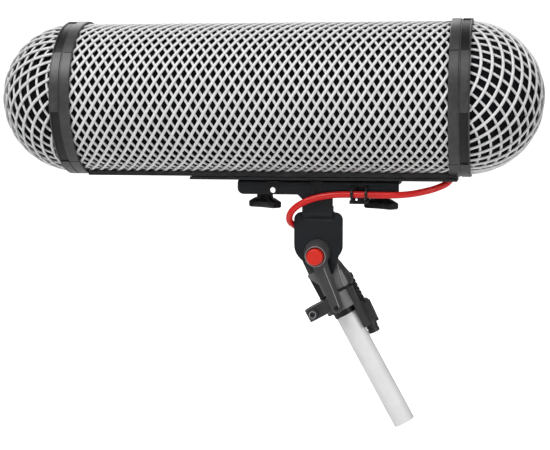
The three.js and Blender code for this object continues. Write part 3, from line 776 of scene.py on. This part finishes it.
class WINDSHIELD_OT_cap_nets(bpy.types.Operator):
    """The two caps' nets: a diamond sheet drawn over each dome"""

    bl_idname = "windshield.cap_nets"
    bl_label = "Cap nets"

    ratios = {"front": 1.66, "rear": 1.38}
    turns = {"front": math.radians(-15), "rear": math.radians(-7.3)}
    # the cells are smaller near the tip, by this much slack that fades over this angle
    slack = 0.2
    fade = 0.4
    past_rim = 0.03
    step = 1.6 * MM

    def execute(self, context):
        net = context.scene.windshield_net
        for end in ENDS:
            bm = bmesh.new()
            for layer in net_layers(net):
                self.add_family(bm, net, end, *layer)
            bmesh.ops.translate(bm, verts=bm.verts, vec=CENTRE)
            finish_mesh(bm, end + "_cap_strands", net_material(), end + "_cap", 0,
                        [end + "_cap_net"])
        return {"FINISHED"}

    def sheet_reach(self, angle):
        """Distance on the flat sheet, in dome radii, for an angle from the cap's tip."""
        return angle - self.slack * (1 - math.exp(-angle / self.fade))

    def angle_for(self, reach):
        """The angle from the cap's tip for a distance on the flat sheet, by Newton's method."""
        angle = reach
        for _ in range(12):
            slope = 1 - self.slack / self.fade * math.exp(-angle / self.fade)
            angle -= (self.sheet_reach(angle) - reach) / slope
        return angle

    def on_dome(self, end, radius, u, v):
        """The point of the dome where the sheet's point lands, past the rim along the tube if it's beyond."""
        turn = self.turns[end]
        towards = Vector((0, -math.cos(turn), math.sin(turn)))
        upwards = Vector((0, math.sin(turn), math.cos(turn)))
        reach = math.hypot(u, v)
        out = (towards * u + upwards * v) / reach if reach > 1e-9 else towards
        angle = self.angle_for(reach / TUBE_R)
        side = SIDE[end]
        if angle <= math.pi / 2:
            normal = AXIS_X * side * math.cos(angle) + out * math.sin(angle)
            return AXIS_X * side * CAP_CENTRE + normal * radius, normal
        past = (angle - math.pi / 2) * radius
        return AXIS_X * side * (CAP_CENTRE - past) + out * radius, out

    def add_family(self, bm, net, end, layer, radius, width):
        p = net.cap_cell / 2
        q = p * self.ratios[end]
        rim = self.sheet_reach(math.pi / 2 + self.past_rim) * TUBE_R
        hand = layer * SIDE[end]
        across = p * q / math.hypot(p, q)
        along = Vector((p, -hand * q)).normalized()
        normal = Vector((q, hand * p)).normalized()
        count = int(rim / (2 * across)) + 1
        for k in range(-count, count + 1):
            offset = (2 * k + 0.5) * across
            if abs(offset) >= rim:
                continue
            half = math.sqrt(rim * rim - offset * offset)
            steps = max(4, int(half / self.step))
            points, outs = [], []
            for i in range(-steps, steps + 1):
                flat = normal * offset + along * (half * i / steps)
                point, out = self.on_dome(end, radius, flat.x, flat.y)
                points.append(point)
                outs.append(out)
            sweep(bm, points, outs, width, net.depth, 6)


class WINDSHIELD_OT_liners(bpy.types.Operator):
    """The black cloth inside the net: a tube and two domes"""

    bl_idname = "windshield.liners"
    bl_label = "Liners"

    def execute(self, context):
        inner = (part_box("tube_liner")[1].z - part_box("tube_liner")[0].z) / 2
        wall = 0.6 * MM
        section = [(-TUBE_HALF, inner), (TUBE_HALF, inner)]
        section += [(along, inner - wall) for along in (TUBE_HALF, -TUBE_HALF)]
        bm = bmesh.new()
        lathe(bm, section, 120, centre=CENTRE)
        finish_mesh(bm, "tube_liner_cloth", liner_material(), "basket",
                    replaces=["tube_liner"])
        for end in ENDS:
            bm = bmesh.new()
            outside = arc(CAP_CENTRE, 0, inner, 0, 90, 20)
            inside = arc(CAP_CENTRE, 0, inner - wall, 90, 0, 20)
            profile = [(SIDE[end] * x, abs(z) if abs(z) > 1e-9 else 0) for x, z in outside + inside]
            lathe(bm, profile, 96, centre=CENTRE)
            finish_mesh(bm, end + "_cap_liner_cloth", liner_material(), end + "_cap",
                        replaces=[end + "_cap_liner"])
        return {"FINISHED"}


class WINDSHIELD_OT_rings(bpy.types.Operator):
    """The bayonet rings: a banded tube ring and a lock ring with raised quarters, at each end"""

    bl_idname = "windshield.rings"
    bl_label = "Bayonet rings"

    seam = math.radians(35)
    tab = math.radians(45)
    low = TUBE_R + 0.2 * MM
    root = TUBE_R - 2.4 * MM
    between = 0.8 * MM
    lip = 1.0 * MM

    def execute(self, context):
        for end in ENDS:
            self.make_tube_ring(end)
            self.make_lock_ring(end)
            refined(end + "_cap_rim", ring_material(), 0.2 * MM)
        return {"FINISHED"}

    def spans(self, node):
        """The node's reach along the axis, measured outwards from the basket's middle."""
        low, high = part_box(node)
        ends = sorted(abs(x - CENTRE.x) for x in (low.x, high.x))
        return ends[0], ends[1]

    def outward(self, end, profile):
        """A section of (distance from the basket's middle, radius) on the side of one end."""
        return [(SIDE[end] * along, radius) for along, radius in profile]

    def quarters(self, bm, end, profile, gap, angle, steps):
        """Four closed sectors, the first starting above the near side's level line and turning down."""
        outline = self.outward(end, profile)
        for quarter in range(4):
            start = self.seam + quarter * math.pi / 2 - gap / 2
            lathe(bm, outline, steps, centre=CENTRE, angle=angle, start=math.pi / 2 - start)

    def make_tube_ring(self, end):
        """Four raised quarters with fine seams on a whole ring."""
        start, _ = self.spans(end + "_tube_ring")
        edge = self.spans(end + "_lock_ring")[0] - self.between
        low, root = self.low, self.root
        top = RING_R
        soft = 0.35 * MM
        gap = math.radians(0.7)
        profile = [(start, low), (start, top - soft), (start + soft, top), (edge - soft, top),
                   (edge, top - soft), (edge, low)]
        bm = bmesh.new()
        self.quarters(bm, end, profile, gap, math.pi / 2 - gap, 32)
        base = top - 0.55 * MM
        inner = start + 0.2 * MM
        outer = edge + 0.7 * MM
        lathe(bm, self.outward(end, [(inner, root), (inner, base), (outer, base), (outer, root)]), 128,
              centre=CENTRE)
        finish_mesh(bm, end + "_tube_band", ring_material(), "basket", 0.5, [end + "_tube_ring"])

    def make_lock_ring(self, end):
        """A ring with a lip at the cap's side, four pockets painted black as painted shade, and four raised
        tabs.
        """
        start, finish = self.spans(end + "_lock_ring")
        low, lip = self.low, self.lip
        top = RING_R
        floor = top - 0.75 * MM
        soft = 0.3 * MM
        bm = bmesh.new()
        base = [(start, low), (start, floor), (finish - lip - soft, floor), (finish - lip, top - 0.2 * MM),
                (finish - lip + soft, top), (finish - soft, top), (finish, top - soft), (finish, low)]
        lathe(bm, self.outward(end, base), 128, centre=CENTRE)
        # the recessed floor between the tabs is painted black, as painted shade
        for face in bm.faces:
            middle = face.calc_center_median() - CENTRE
            if abs(middle.x) < finish - lip - soft / 2:
                face.material_index = 1
        raised = [(start, floor - 0.1 * MM), (start, top - soft), (start + soft, top), (finish - lip, top),
                  (finish - lip, floor - 0.1 * MM)]
        self.quarters(bm, end, raised, math.radians(0.45), self.tab, 16)
        finish_mesh(bm, end + "_lock_band", [ring_material(), black_and_shade_material()], end + "_lock_ring",
                    0.5, [end + "_lock_ring"])


class WINDSHIELD_OT_keel(bpy.types.Operator):
    """The keel rail, its channel, the grommet and the parts inside the basket"""

    bl_idname = "windshield.keel"
    bl_label = "Keel and inner parts"

    def execute(self, context):
        refined("keel_rail", rail_material(), 0.3 * MM)
        refined("keel_channel", rail_material(), 0.3 * MM)
        refined("lead_grommet", black_and_shade_material(), 0.2 * MM)
        refined("suspension_bar", rail_material(), 0.3 * MM)
        for end in ENDS:
            refined(end + "_bar_post", rail_material(), 0.2 * MM)
            refined(end + "_post_screw", bolt_material(), 0.2 * MM)
            refined(end + "_lyre", black_and_shade_material(), 0.4 * MM)
            refined(end + "_lyre_base", black_and_shade_material(), 0.3 * MM)
            refined(end + "_clamp_nut", bolt_material(), 0.15 * MM)
        return {"FINISHED"}


class WINDSHIELD_OT_lead(bpy.types.Operator):
    """The red lead: its run under the ties and its bend down to the plug"""

    bl_idname = "windshield.lead"
    bl_label = "Lead"

    # in millimetres from the basket's middle
    upper = [(121.6, -4.5, -53.4), (119.4, -4.9, -55.6), (115.6, -6.2, -57.6), (110.6, -8.1, -59.4),
             (105, -10.4, -60.8), (97.5, -12.8, -62.2), (88.5, -14.4, -63), (79, -14.6, -63.2),
             (72, -14.6, -63.15), (67.8, -14.6, -63.1)]
    lower = [(67.8, -14.6, -63.1), (63, -14.6, -63), (55, -14.6, -63), (47, -14.8, -63.3), (39.5, -15, -64.3),
             (32.5, -15.2, -66), (26.5, -15.1, -68.4), (21.6, -14.6, -71.4), (18, -13.6, -75),
             (16.4, -11.8, -78.8), (16.5, -8.4, -82), (18.2, -3.6, -84.4), (20.4, 2, -87), (21.6, 8, -90.6),
             (22.4, 13.2, -95.4), (25.2, 17.2, -101.4), (30.4, 19.3, -107), (37, 18.9, -111.4)]
    # in millimetres in the clamp's frame, down to the boot
    last = [(7.1, 16.2, 27.7), (9.7, 13, 22.9), (12.2, 10, 17.6), (12.2, 9.6, 15)]
    radius = 2.2 * MM

    def execute(self, context):
        upper = smooth_path(placed(HEAD, self.upper))
        lower = smooth_path(placed(HEAD, self.lower) + placed(CLAMP, self.last))
        run = self.make("lead_upper_jacket", upper, "tilt_head", "lead_upper")
        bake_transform(run)
        bend = self.make("lead_lower_jacket", lower, "pole_clamp", "lead_lower")
        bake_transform(bend)
        self.declare(run, upper, "object", [])
        self.declare(bend, lower, "connector", ["output_connector_finished", "connector_boot_finished"])
        return {"FINISHED"}

    def make(self, name, path, body, node):
        bm = bmesh.new()
        sweep(bm, path, [AXIS_Y] * len(path), 2 * self.radius, 2 * self.radius, 18)
        return finish_mesh(bm, name, lead_material(), body, 1.0, [node], ride=False)

    def declare(self, piece, path, far_end, with_pieces):
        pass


class WINDSHIELD_OT_bracket(bpy.types.Operator):
    """The folded steel bracket with its cheeks, friction discs and cable ties"""

    bl_idname = "windshield.bracket"
    bl_label = "Bracket"

    # in millimetres from the basket's middle
    front = -12
    sheet = 2
    flange = (-18.4, 88.7)
    top = -57.6
    bottom = -63.6
    stem = (25, 45.2)
    stem_shoulder = -66.6
    stem_end = -71
    tab = (57.8, 69.5)
    tab_foot = -69.4
    window = (60.7, 66)
    clips = ((1.7, 9.1), (30.6, 38.6))
    tie_path = [(-9.4, -57.4), (-12.4, -57.1), (-14.9, -58.5), (-16.9, -60.9), (-17.5, -63.1), (-16.9, -65.4),
                (-15.2, -67.3), (-12.6, -68.3), (-9.4, -67.8)]

    def execute(self, context):
        self.make_bracket()
        refined("front_cheek", steel_material(), 0.45 * MM)
        refined("rear_cheek", steel_material(), 0.35 * MM)
        for end in ENDS:
            refined(end + "_friction_disc", black_and_shade_material(), 0.15 * MM)
            self.make_tie(end)
        return {"FINISHED"}

    def outline(self):
        """The front flange with the stem's root and the rear tab, which has two cut corners."""
        left, right = self.flange
        near, far = self.tab
        cut = 0.8
        points = [(left, self.top)] + arc(left + 4, self.bottom + 4, 4, 180, 270, 5)
        points += [(self.stem[0] - 3, self.bottom), (self.stem[0], self.stem_shoulder)]
        points += [(self.stem[0], self.stem_end), (self.stem[1], self.stem_end), (self.stem[1], self.bottom)]
        points += [(near, self.bottom), (near, self.tab_foot + cut), (near + cut, self.tab_foot)]
        points += [(far - cut, self.tab_foot), (far, self.tab_foot + cut), (far, self.bottom)]
        return points + arc(right - 3, self.bottom + 3, 3, 270, 360, 4) + [(right, self.top)]

    def strip(self, bm, path, x):
        """A bent strip of sheet metal: its middle line in y and z, and its two edges along x."""
        points = [Vector(((x[0] + x[1]) / 2, y, z)) * MM for y, z in path]
        alongs = [(points[min(i + 1, len(points) - 1)] - points[max(i - 1, 0)]).normalized()
                  for i in range(len(points))]
        outline = [(-0.5, -0.5, 0), (0.5, -0.5, 0), (0.5, 0.5, 0), (-0.5, 0.5, 0)]
        size = Matrix.Diagonal(((x[1] - x[0]) * MM, self.sheet * MM, 1, 1))
        places = [HEAD @ frame_at(point, along, along.cross(AXIS_X)) @ size
                  for point, along in zip(points, alongs)]
        stacked(bm, outline, places)

    def make_bracket(self):
        bm = bmesh.new()
        prism(bm, self.outline(), self.front, self.front + self.sheet)
        tool = bmesh.new()
        for radius, x, z in ((1.9, 5.3, -60.8), (0.8, 60.9, -66.5), (0.75, 66.9, -66.4)):
            hole(tool, radius, x, z, self.front - 2, self.front + 4)
        block(tool, self.window, (self.front - 2, self.front + 4), (-61.2, -57.9), bevel=0)
        bm = carved(bm, tool)
        bmesh.ops.transform(bm, matrix=HEAD, verts=bm.verts)
        # the top plate's fold, the stem, and the stem's curled end
        fold = arc(-9.3, -57.2, 1.7, 180, 90, 6)
        curl = arc(-6.2, -74.6, 4.83, 180, 270, 10)
        self.strip(bm, [(-11, -58), (-11, -57.2)] + fold + [(12, -55.5)], self.flange)
        self.strip(bm, [(-11.03, -65), (-11.03, -74.6)] + curl + [(7.2, -79.4)], self.stem)
        self.strip(bm, [(0, -79.4), (9.6, -79.4)], (self.stem[0] + 3, self.stem[1] - 3))
        known = set(bm.faces)
        self.add_clips(bm)
        # black blocks, as painted shade: one behind the window, which the rear tie and the stud pass, so the
        # window shows dark, and one in the cheek's slot, as the painted shadow under the stem's curl
        block(bm, (59.6, 67), (-9.9, -8.6), (-61.6, -56.8), HEAD)
        block(bm, (self.stem[0] - 0.3, self.stem[1] + 0.3), (-9.5, -7.8), (-80.8, self.stem_end), HEAD)
        paint_new(bm, known)
        piece = finish_mesh(bm, "stem_bracket_finished", [steel_material(), black_and_shade_material()], "tilt_head",
                            0.6, ["stem_bracket"])
        soften(piece, 0.3 * MM)

    def add_clips(self, bm):
        """The two clips that wrap over the flange, each a thin raised plate with a hole."""
        plates = bmesh.new()
        for x, low in zip(self.clips, (-63.5, -63.2)):
            block(plates, x, (self.front - 0.7, self.front + 0.2), (low, -54.6))
        tool = bmesh.new()
        hole(tool, 1.9, 5.3, -60.8, self.front - 2, self.front + 1)
        hole(tool, 1.9, 34.7, -60.9, self.front - 2, self.front - 0.05)
        plates = carved(plates, tool)
        bmesh.ops.transform(plates, matrix=HEAD, verts=plates.verts)
        bm.from_mesh(mesh_of(plates, "clip plates"))

    def make_tie(self, end):
        place = HEAD @ Matrix.Translation(AXIS_X * (middle_of(end + "_cable_tie") - CENTRE).x)
        points = smooth_path(placed(place, [(0, y, z) for y, z in self.tie_path]), 4)
        bm = bmesh.new()
        middle = place @ (Vector((0, -12, -63)) * MM)
        outs = [(point - middle).normalized() for point in points]
        sweep(bm, points, outs, 1.7 * MM, 0.7 * MM, 8)
        block(bm, (-1.5, 1.5), (-17, -13.6), (-69, -66.7), place)
        block(bm, (-0.6, 0.9), (-18.2, -16.6), (-68.4, -67.4), place)
        finish_mesh(bm, end + "_tie_band", black_and_shade_material(), "tilt_head", 0.6,
                    [end + "_cable_tie"])


class WINDSHIELD_OT_knobs(bpy.types.Operator):
    """The two thumb knobs under the bracket, with dished grips"""

    bl_idname = "windshield.knobs"
    bl_label = "Thumb knobs"

    half_length = 12.6
    half_width = 3.9
    dish = 1.3
    turn = math.radians(-38)
    # height from the basket's middle, and how much shorter and narrower than the grip's middle
    levels = [(-73.1, 0.9, 0.6), (-72.5, 0.2, 0.1), (-72.2, 0, 0), (-69.3, 0, 0), (-68.7, 0.5, 0.4),
              (-67.3, 3.2, 1.1), (-66.4, 5, 1.6)]
    neck = [(-66.9, 5.9), (-65.4, 5.4), (-63.4, 5.3), (-63.1, 3), (-56.9, 3)]
    stud = [(-57.2, 2), (-51.7, 2)]

    def execute(self, context):
        for end in ENDS:
            middle = middle_of(end + "_thumb_knob")
            place = Matrix.Translation((middle.x, middle.y, CENTRE.z)) @ Matrix.Rotation(self.turn, 4, "Z")
            bm = bmesh.new()
            lofted(bm, [placed(place, [(x, y, z) for x, y in self.plan(short, narrow)])
                        for z, short, narrow in self.levels])
            turned(bm, place @ UPRIGHT, self.neck)
            turned(bm, place @ UPRIGHT, self.stud, 20)
            finish_mesh(bm, end + "_knob_grip", black_and_shade_material(), end + "_thumb_knob", 0.5,
                        [end + "_thumb_knob"])
        return {"FINISHED"}

    def plan(self, short, narrow):
        """The grip's outline in x and y, with both long sides dished."""
        long, wide = self.half_length - short, self.half_width - narrow
        steps = 12
        side = []
        for i in range(steps + 1):
            x = -1 + 2 * i / steps
            pull = self.dish * max(0, 1 - (x / 0.84) ** 2) ** 1.2
            side.append((x * (long - 0.8), -wide + pull))
        other = [(-x, -y) for x, y in side]
        right = [(long, -wide + 0.7), (long, wide - 0.7)]
        return side + right + other + [(-x, -y) for x, y in right]


class WINDSHIELD_OT_swivel(bpy.types.Operator):
    """The swivel body with its fork, its sleeve and the bolts"""

    bl_idname = "windshield.swivel"
    bl_label = "Swivel body"

    # in millimetres in the clamp's frame; a level is a height, then the x where the flat front ends and
    # the x of the side, then the y of the front and of the back
    left = -9.8
    levels = [(12.9, 8.6, 14, -6.7, 7.9), (13.5, 9, 14.7, -7.2, 8.4), (15.5, 9.2, 15.3, -7.2, 8.4),
              (20.4, 9.7, 15.2, -7.2, 8.4), (24.4, 10.6, 14.4, -7.1, 7.6), (28.4, 11.7, 13.2, -6.6, 6.6),
              (31, 11.2, 12, -6.05, 6.05)]
    # the step under the body, in the same columns as the levels; it is painted black as painted shade in the
    # gap above the collar
    step = [(12.1, 8, 13.8, -6.6, 7.6), (13.4, 8, 13.8, -6.6, 7.6)]
    # the raised line along the flat front's right edge, a painted highlight, as x, y and z
    front_highlight = [(9.3, -7.5, 13.4), (9.75, -7.5, 19), (10.7, -7.35, 24.2), (11.9, -6.9, 28.6),
                  (12, -6.2, 31.4)]
    pocket = [(-12, 13.6), (-6.1, 13.6), (-5.7, 22), (-12, 32.5)]
    bore = 7.6
    sleeve = 8.9
    plug_room = (12, 9.5, 4.2)
    pinch = (-18.4, -8.3, 6.6)

    def execute(self, context):
        bm = bmesh.new()
        lofted(bm, [placed(CLAMP, self.section(*level)) for level in self.levels])
        fork = [(self.left, 20), (14.2, 20), (12.9, 28.5), (11.2, 34)] + arc(3, 40, 8.8, -22, 130, 20)
        prism(bm, fork + [(-8.2, 41), (-8.9, 30.5), (self.left, 29.6)], -6, 6, CLAMP, 0.5)
        bm = carved(bm, self.openings())
        wall = [(0.3, self.bore), (0.3, self.sleeve), (13.4, self.sleeve), (13.4, self.bore)]
        lathe(bm, [(along * MM, radius * MM) for along, radius in wall], 48, axis=CLAMP.to_3x3() @ AXIS_Z)
        # the step under the body, painted black below as painted shade in the gap above the collar
        lofted(bm, [placed(CLAMP, self.section(*level)) for level in self.step])
        self.paint_light_and_shade(bm)
        # A raised line in the highlight grey along the flat front's right edge, a painted highlight.
        line = smooth_path(placed(CLAMP, self.front_highlight))
        highlight_line(bm, line, CLAMP.to_3x3() @ Vector((0.4, -1, 0)), 0.75 * MM, 0.5 * MM)
        used = [cast_material(), highlight_material(), lit_grey_material(), black_and_shade_material()]
        piece = finish_mesh(bm, "swivel_body_finished", used, "pole_clamp", 0.5, ["swivel_body"])
        soften(piece, 0.35 * MM)
        refined("pole_tip_section", pole_material(), 0.2 * MM)
        refined("pinch_nut", bolt_material(), 0.15 * MM)
        refined("pivot_bolt", bolt_material(), 0.15 * MM)
        refined("pinch_bolt", [bolt_material(), highlight_material()], 0.15 * MM, self.washer_and_highlight)
        refined("clamp_collar", [cast_material(), lit_grey_material(), black_and_shade_material()], 0.4 * MM,
                self.band, self.grooves)
        return {"FINISHED"}

    def section(self, z, edge, side, front, back):
        """One level of the body: a flat front, a rounded side and a flat back."""
        across = side - edge
        return [(self.left, front, z), (edge, front, z), (edge + across * 0.45, front + 0.9, z),
                (edge + across * 0.8, front + 2.8, z), (edge + across * 0.96, front + 5.2, z),
                (side, 0.4, z), (side - 0.5, back - 4, z), (side - 1.8, back - 1.2, z), (side - 4, back, z),
                (self.left, back, z)]

    def openings(self):
        """The cutters for the pocket in the front, the pole's bore and the room for the plug's boot."""
        tool = bmesh.new()
        prism(tool, self.pocket, -9, -5.2)
        turned(tool, UPRIGHT, [(0, self.bore), (20, self.bore)], 40)
        x, y, radius = self.plug_room
        turned(tool, Matrix.Translation(Vector((x, y, 0)) * MM) @ UPRIGHT, [(0, radius), (40, radius)], 40)
        bmesh.ops.transform(tool, matrix=CLAMP, verts=tool.verts)
        return tool

    def paint_light_and_shade(self, bm):
        """Paints light and shade: the flat front in the lighter grey as painted light, and black on the walls
        of the pocket at its left and of the step below as painted shade.
        """
        back = CLAMP.inverted()
        turn = back.to_3x3()
        bm.normal_update()
        for face in bm.faces:
            middle = back @ face.calc_center_median() / MM
            to_front = -(turn @ face.normal).y
            in_pocket = middle.x < -5.8
            # the pocket's walls and floor, and all below the step, are black as painted shade
            if in_pocket and middle.y < -5 and 13 < middle.z < 28 and to_front < 0.9:
                face.material_index = 3
            elif middle.z < 12.96 or (to_front > 0.9 and in_pocket and middle.y > -5.5):
                face.material_index = 3
            # faces that face the front ahead of the tongue get the lighter grey as painted light
            elif to_front > 0.9 and middle.y < -6.02:
                face.material_index = 2

    def washer_and_highlight(self, bm):
        """A flange round the pinch bolt's head, and a raised ring in the highlight grey on the head, a
        painted highlight.
        """
        place = Matrix.Translation(CLAMP @ (Vector(self.pinch) * MM))
        turned(bm, place, [(0, 3.9), (-0.5, 3.9), (-0.8, 3.6)])
        highlight_ring(bm, place @ Matrix.Translation((0, -3 * MM, 0)), 2.2 * MM, 0.6 * MM)

    def band(self, bm):
        """The collar's turned band right of the lever is painted lighter than its ears, as painted light,
        with the faces down in its grooves painted black as painted shade; the ears' top edges get raised
        lines in the lighter grey, as painted highlights.
        """
        back = CLAMP.inverted()
        for face in bm.faces:
            middle = back @ face.calc_center_median() / MM
            radius = math.hypot(middle.x, middle.y)
            # right of the lever the band's faces get the lighter grey as painted light, and those down in the
            # grooves black as painted shade
            if middle.x > -1 and radius > 10.5:
                face.material_index = 2 if radius < 11.12 else 1
        # raised lines in the lighter grey along the ears' top edges, painted highlights
        for z in (2.5, 11.1):
            ear_highlight = placed(CLAMP, [(x, -7.95, z) for x in (-22.4, -15, -8)])
            highlight_line(bm, ear_highlight, CLAMP.to_3x3() @ Vector((0, -1, 0.6)), 0.5 * MM, 0.35 * MM)

    def grooves(self, tool):
        """Fine turned lines round the collar."""
        low, high, width = 10.85 * MM, 12.4 * MM, 0.45 * MM
        for line in range(6):
            z = (3.2 + 1.4 * line) * MM
            ring = [(z, low), (z, high), (z + width, high), (z + width, low)]
            lathe(tool, ring, 64, axis=CLAMP.to_3x3() @ AXIS_Z)


class WINDSHIELD_OT_lever(bpy.types.Operator):
    """The tension lever and its red button"""

    bl_idname = "windshield.lever"
    bl_label = "Lever"

    # in millimetres in the lever's frame, which has the arm along minus z
    turn = Matrix.Translation(PIVOT) @ Matrix.Rotation(math.radians(-25), 4, "Y")
    # the hub, as y and radius, and how far its middle leans towards the top right
    hub = [(-10, 8.7, 1.3, 2), (-11.2, 8.7, 1.25, 1.95), (-13.2, 8.4, 0.95, 1.5), (-15.4, 7.8, 0.5, 0.8),
           (-17, 7.2, 0.15, 0.25), (-17.6, 6.9, 0, 0), (-17.6, 6.2, 0, 0), (-17.1, 5.9, 0, 0),
           (-13.4, 5.85, 0, 0)]
    face = -17.6
    reach = 36.6
    tip = 3.7
    # the arm's section in half widths and millimetres, then its levels: z, middle and half width
    arm = [(-1, -13.6), (1, -13.6), (1, -15.2), (0.9, -15.8), (0.4, -17.7), (-0.84, -17.4), (-1, -16.9)]
    levels = [(-4.6, 0.6, 5.4), (-9, 0.2, 4.8), (-16, -0.1, 4.4), (-26, -0.4, 4.15), (-reach, -1, tip)]
    tip_angles = (15, 30, 45, 60, 72, 82)
    button = [(-17.9, 4.4), (-16, 4.4), (-16, 5.5), (-21.3, 5.5), (-21.9, 5.3), (-22.4, 4.85), (-22.55, 4.4),
              (-22.4, 4), (-22.35, 3.6), (-22.45, 1.8)]

    def execute(self, context):
        bm = bmesh.new()
        stacked(bm, round_points(48),
                [Matrix.Translation(Vector((x, y, z)) * MM) @ Matrix.Diagonal((radius, 1, radius, 1))
                 for y, radius, x, z in self.hub])
        bm.from_mesh(mesh_of(self.make_arm(), "lever arm"))
        # A raised line in the highlight grey along the arm's face, a painted highlight on its ridge.
        ridge_highlight = [(middle + 0.4 * width, self.face - 0.12, z) for z, middle, width in self.levels[1:]]
        highlight_line(bm, smooth_path(placed(Matrix(), ridge_highlight)), -AXIS_Y, 0.5 * MM, 0.3 * MM)
        # A raised ring in the highlight grey round the button's well, a painted highlight on the well's rim.
        highlight_ring(bm, Matrix.Translation((0, self.face * MM, 0)), 6.55 * MM, 0.55 * MM)
        bmesh.ops.transform(bm, matrix=self.turn, verts=bm.verts)
        used = [lever_material(), highlight_material()]
        piece = finish_mesh(bm, "tension_lever_finished", used, "tension_lever", 0.5,
                            ["tension_lever"])
        soften(piece, 0.3 * MM, 30)
        bm = bmesh.new()
        turned(bm, self.turn, self.button, 48)
        finish_mesh(bm, "lever_button_finished", button_material(), "lever_button", 0.9,
                    ["lever_button"])
        frame["nodes"]["button_spring"].material_slots[0].material = bolt_material()
        return {"FINISHED"}

    def make_arm(self):
        """The tapered arm with its round tip and the hole near it."""
        arm = bmesh.new()
        turns = [math.radians(angle) for angle in self.tip_angles]
        tips = [(-self.reach - self.tip * math.sin(turn), -1, self.tip * math.cos(turn)) for turn in turns]
        stacked(arm, [(x * MM, y * MM, 0) for x, y in self.arm],
                [Matrix.Translation(Vector((middle, 0, z)) * MM) @ Matrix.Diagonal((width, 1, 1, 1))
                 for z, middle, width in self.levels + tips])
        tool = bmesh.new()
        hole(tool, 1.6, -1.6, -self.reach, -20, -12)
        return carved(arm, tool)


class WINDSHIELD_OT_plug(bpy.types.Operator):
    """The output plug with its ribbed boot and the clip that holds it"""

    bl_idname = "windshield.plug"
    bl_label = "Plug and clip"

    # the plug and its clip lean out from the pole about the clip's middle; all in millimetres
    axis = (12, 9.5)
    lean = (Matrix.Translation((12 * MM, 0, 12 * MM)) @ Matrix.Rotation(math.radians(3.6), 4, "Y")
            @ Matrix.Translation((-12 * MM, 0, -12 * MM)))
    barrel = [(-19.6, 2.9), (-24.4, 2.9), (-24.4, 3.5), (-23.8, 4), (-21.8, 4), (-21.6, 3.7), (-21, 3.7),
              (-20.8, 4), (-2.2, 4), (-1.4, 3.5), (-1, 3)]
    horn = [(13.4, -4.4), (17.6, -4.4), (18, -2.9), (17, -0.9), (15.4, -0.1), (14.7, -0.9), (15.6, -2.3),
            (15.4, -3.2), (13.4, -3.6)]

    def execute(self, context):
        boot = [(-0.7, 3.2)]
        for rib in range(5):
            low = 0.2 + rib * 3
            radius = 3.2 - rib * 0.1
            boot += [(low, radius), (low + 0.3, radius + 0.1), (low + 1.6, radius + 0.05),
                     (low + 1.9, radius - 0.15), (low + 2.1, radius - 0.4), (low + 2.7, radius - 0.4)]
        boot += [(15.4, 2.85), (18.6, 2.7), (19, 2.4)]
        self.make_round("output_connector", self.barrel, cast_material(), "connector_metal")
        self.make_round("connector_boot", boot, black_and_shade_material(), "boot_rubber")
        refined("connector_clip", cast_material(), 0.6 * MM, self.hook)
        return {"FINISHED"}

    def make_round(self, node, profile, material, slot):
        bm = bmesh.new()
        place = CLAMP @ self.lean @ Matrix.Translation(Vector((*self.axis, 0)) * MM)
        turned(bm, place @ UPRIGHT, profile)
        finish_mesh(bm, node + "_finished", material, "pole_clamp", 0.6, [node])

    def hook(self, bm):
        """The clip's thumb hook: a short horn above its block."""
        prism(bm, self.horn, 4.2, 8.8, CLAMP @ self.lean)


class WINDSHIELD_PT_panel(bpy.types.Panel):
    """Builds the windshield piece by piece"""

    bl_label = "Windshield"
    bl_idname = "WINDSHIELD_PT_panel"
    bl_space_type = "VIEW_3D"
    bl_region_type = "UI"
    bl_category = "Windshield"

    def draw(self, context):
        for operator in OPERATORS:
            self.layout.operator(operator.bl_idname)


SETTINGS = {
    "windshield_net": NetSettings,
    "windshield_finish": FinishSettings,
    "windshield_stage": StageSettings,
}
OPERATORS = (
    WINDSHIELD_OT_stage,
    WINDSHIELD_OT_plug,
    WINDSHIELD_OT_lead,
    WINDSHIELD_OT_tube_net,
    WINDSHIELD_OT_cap_nets,
    WINDSHIELD_OT_liners,
    WINDSHIELD_OT_rings,
    WINDSHIELD_OT_keel,
    WINDSHIELD_OT_bracket,
    WINDSHIELD_OT_knobs,
    WINDSHIELD_OT_swivel,
    WINDSHIELD_OT_lever,
)


def register():
    for group in SETTINGS.values():
        bpy.utils.register_class(group)
    for name, group in SETTINGS.items():
        setattr(bpy.types.Scene, name, PointerProperty(type=group))
    for operator in OPERATORS:
        bpy.utils.register_class(operator)
    bpy.utils.register_class(WINDSHIELD_PT_panel)


def unregister():
    bpy.utils.unregister_class(WINDSHIELD_PT_panel)
    for operator in reversed(OPERATORS):
        bpy.utils.unregister_class(operator)
    for name, group in SETTINGS.items():
        delattr(bpy.types.Scene, name)
        bpy.utils.unregister_class(group)


def main():
    register()
    for operator in OPERATORS:
        area, name = operator.bl_idname.split(".")
        getattr(getattr(bpy.ops, area), name)()


if __name__ == "__main__":
    main()
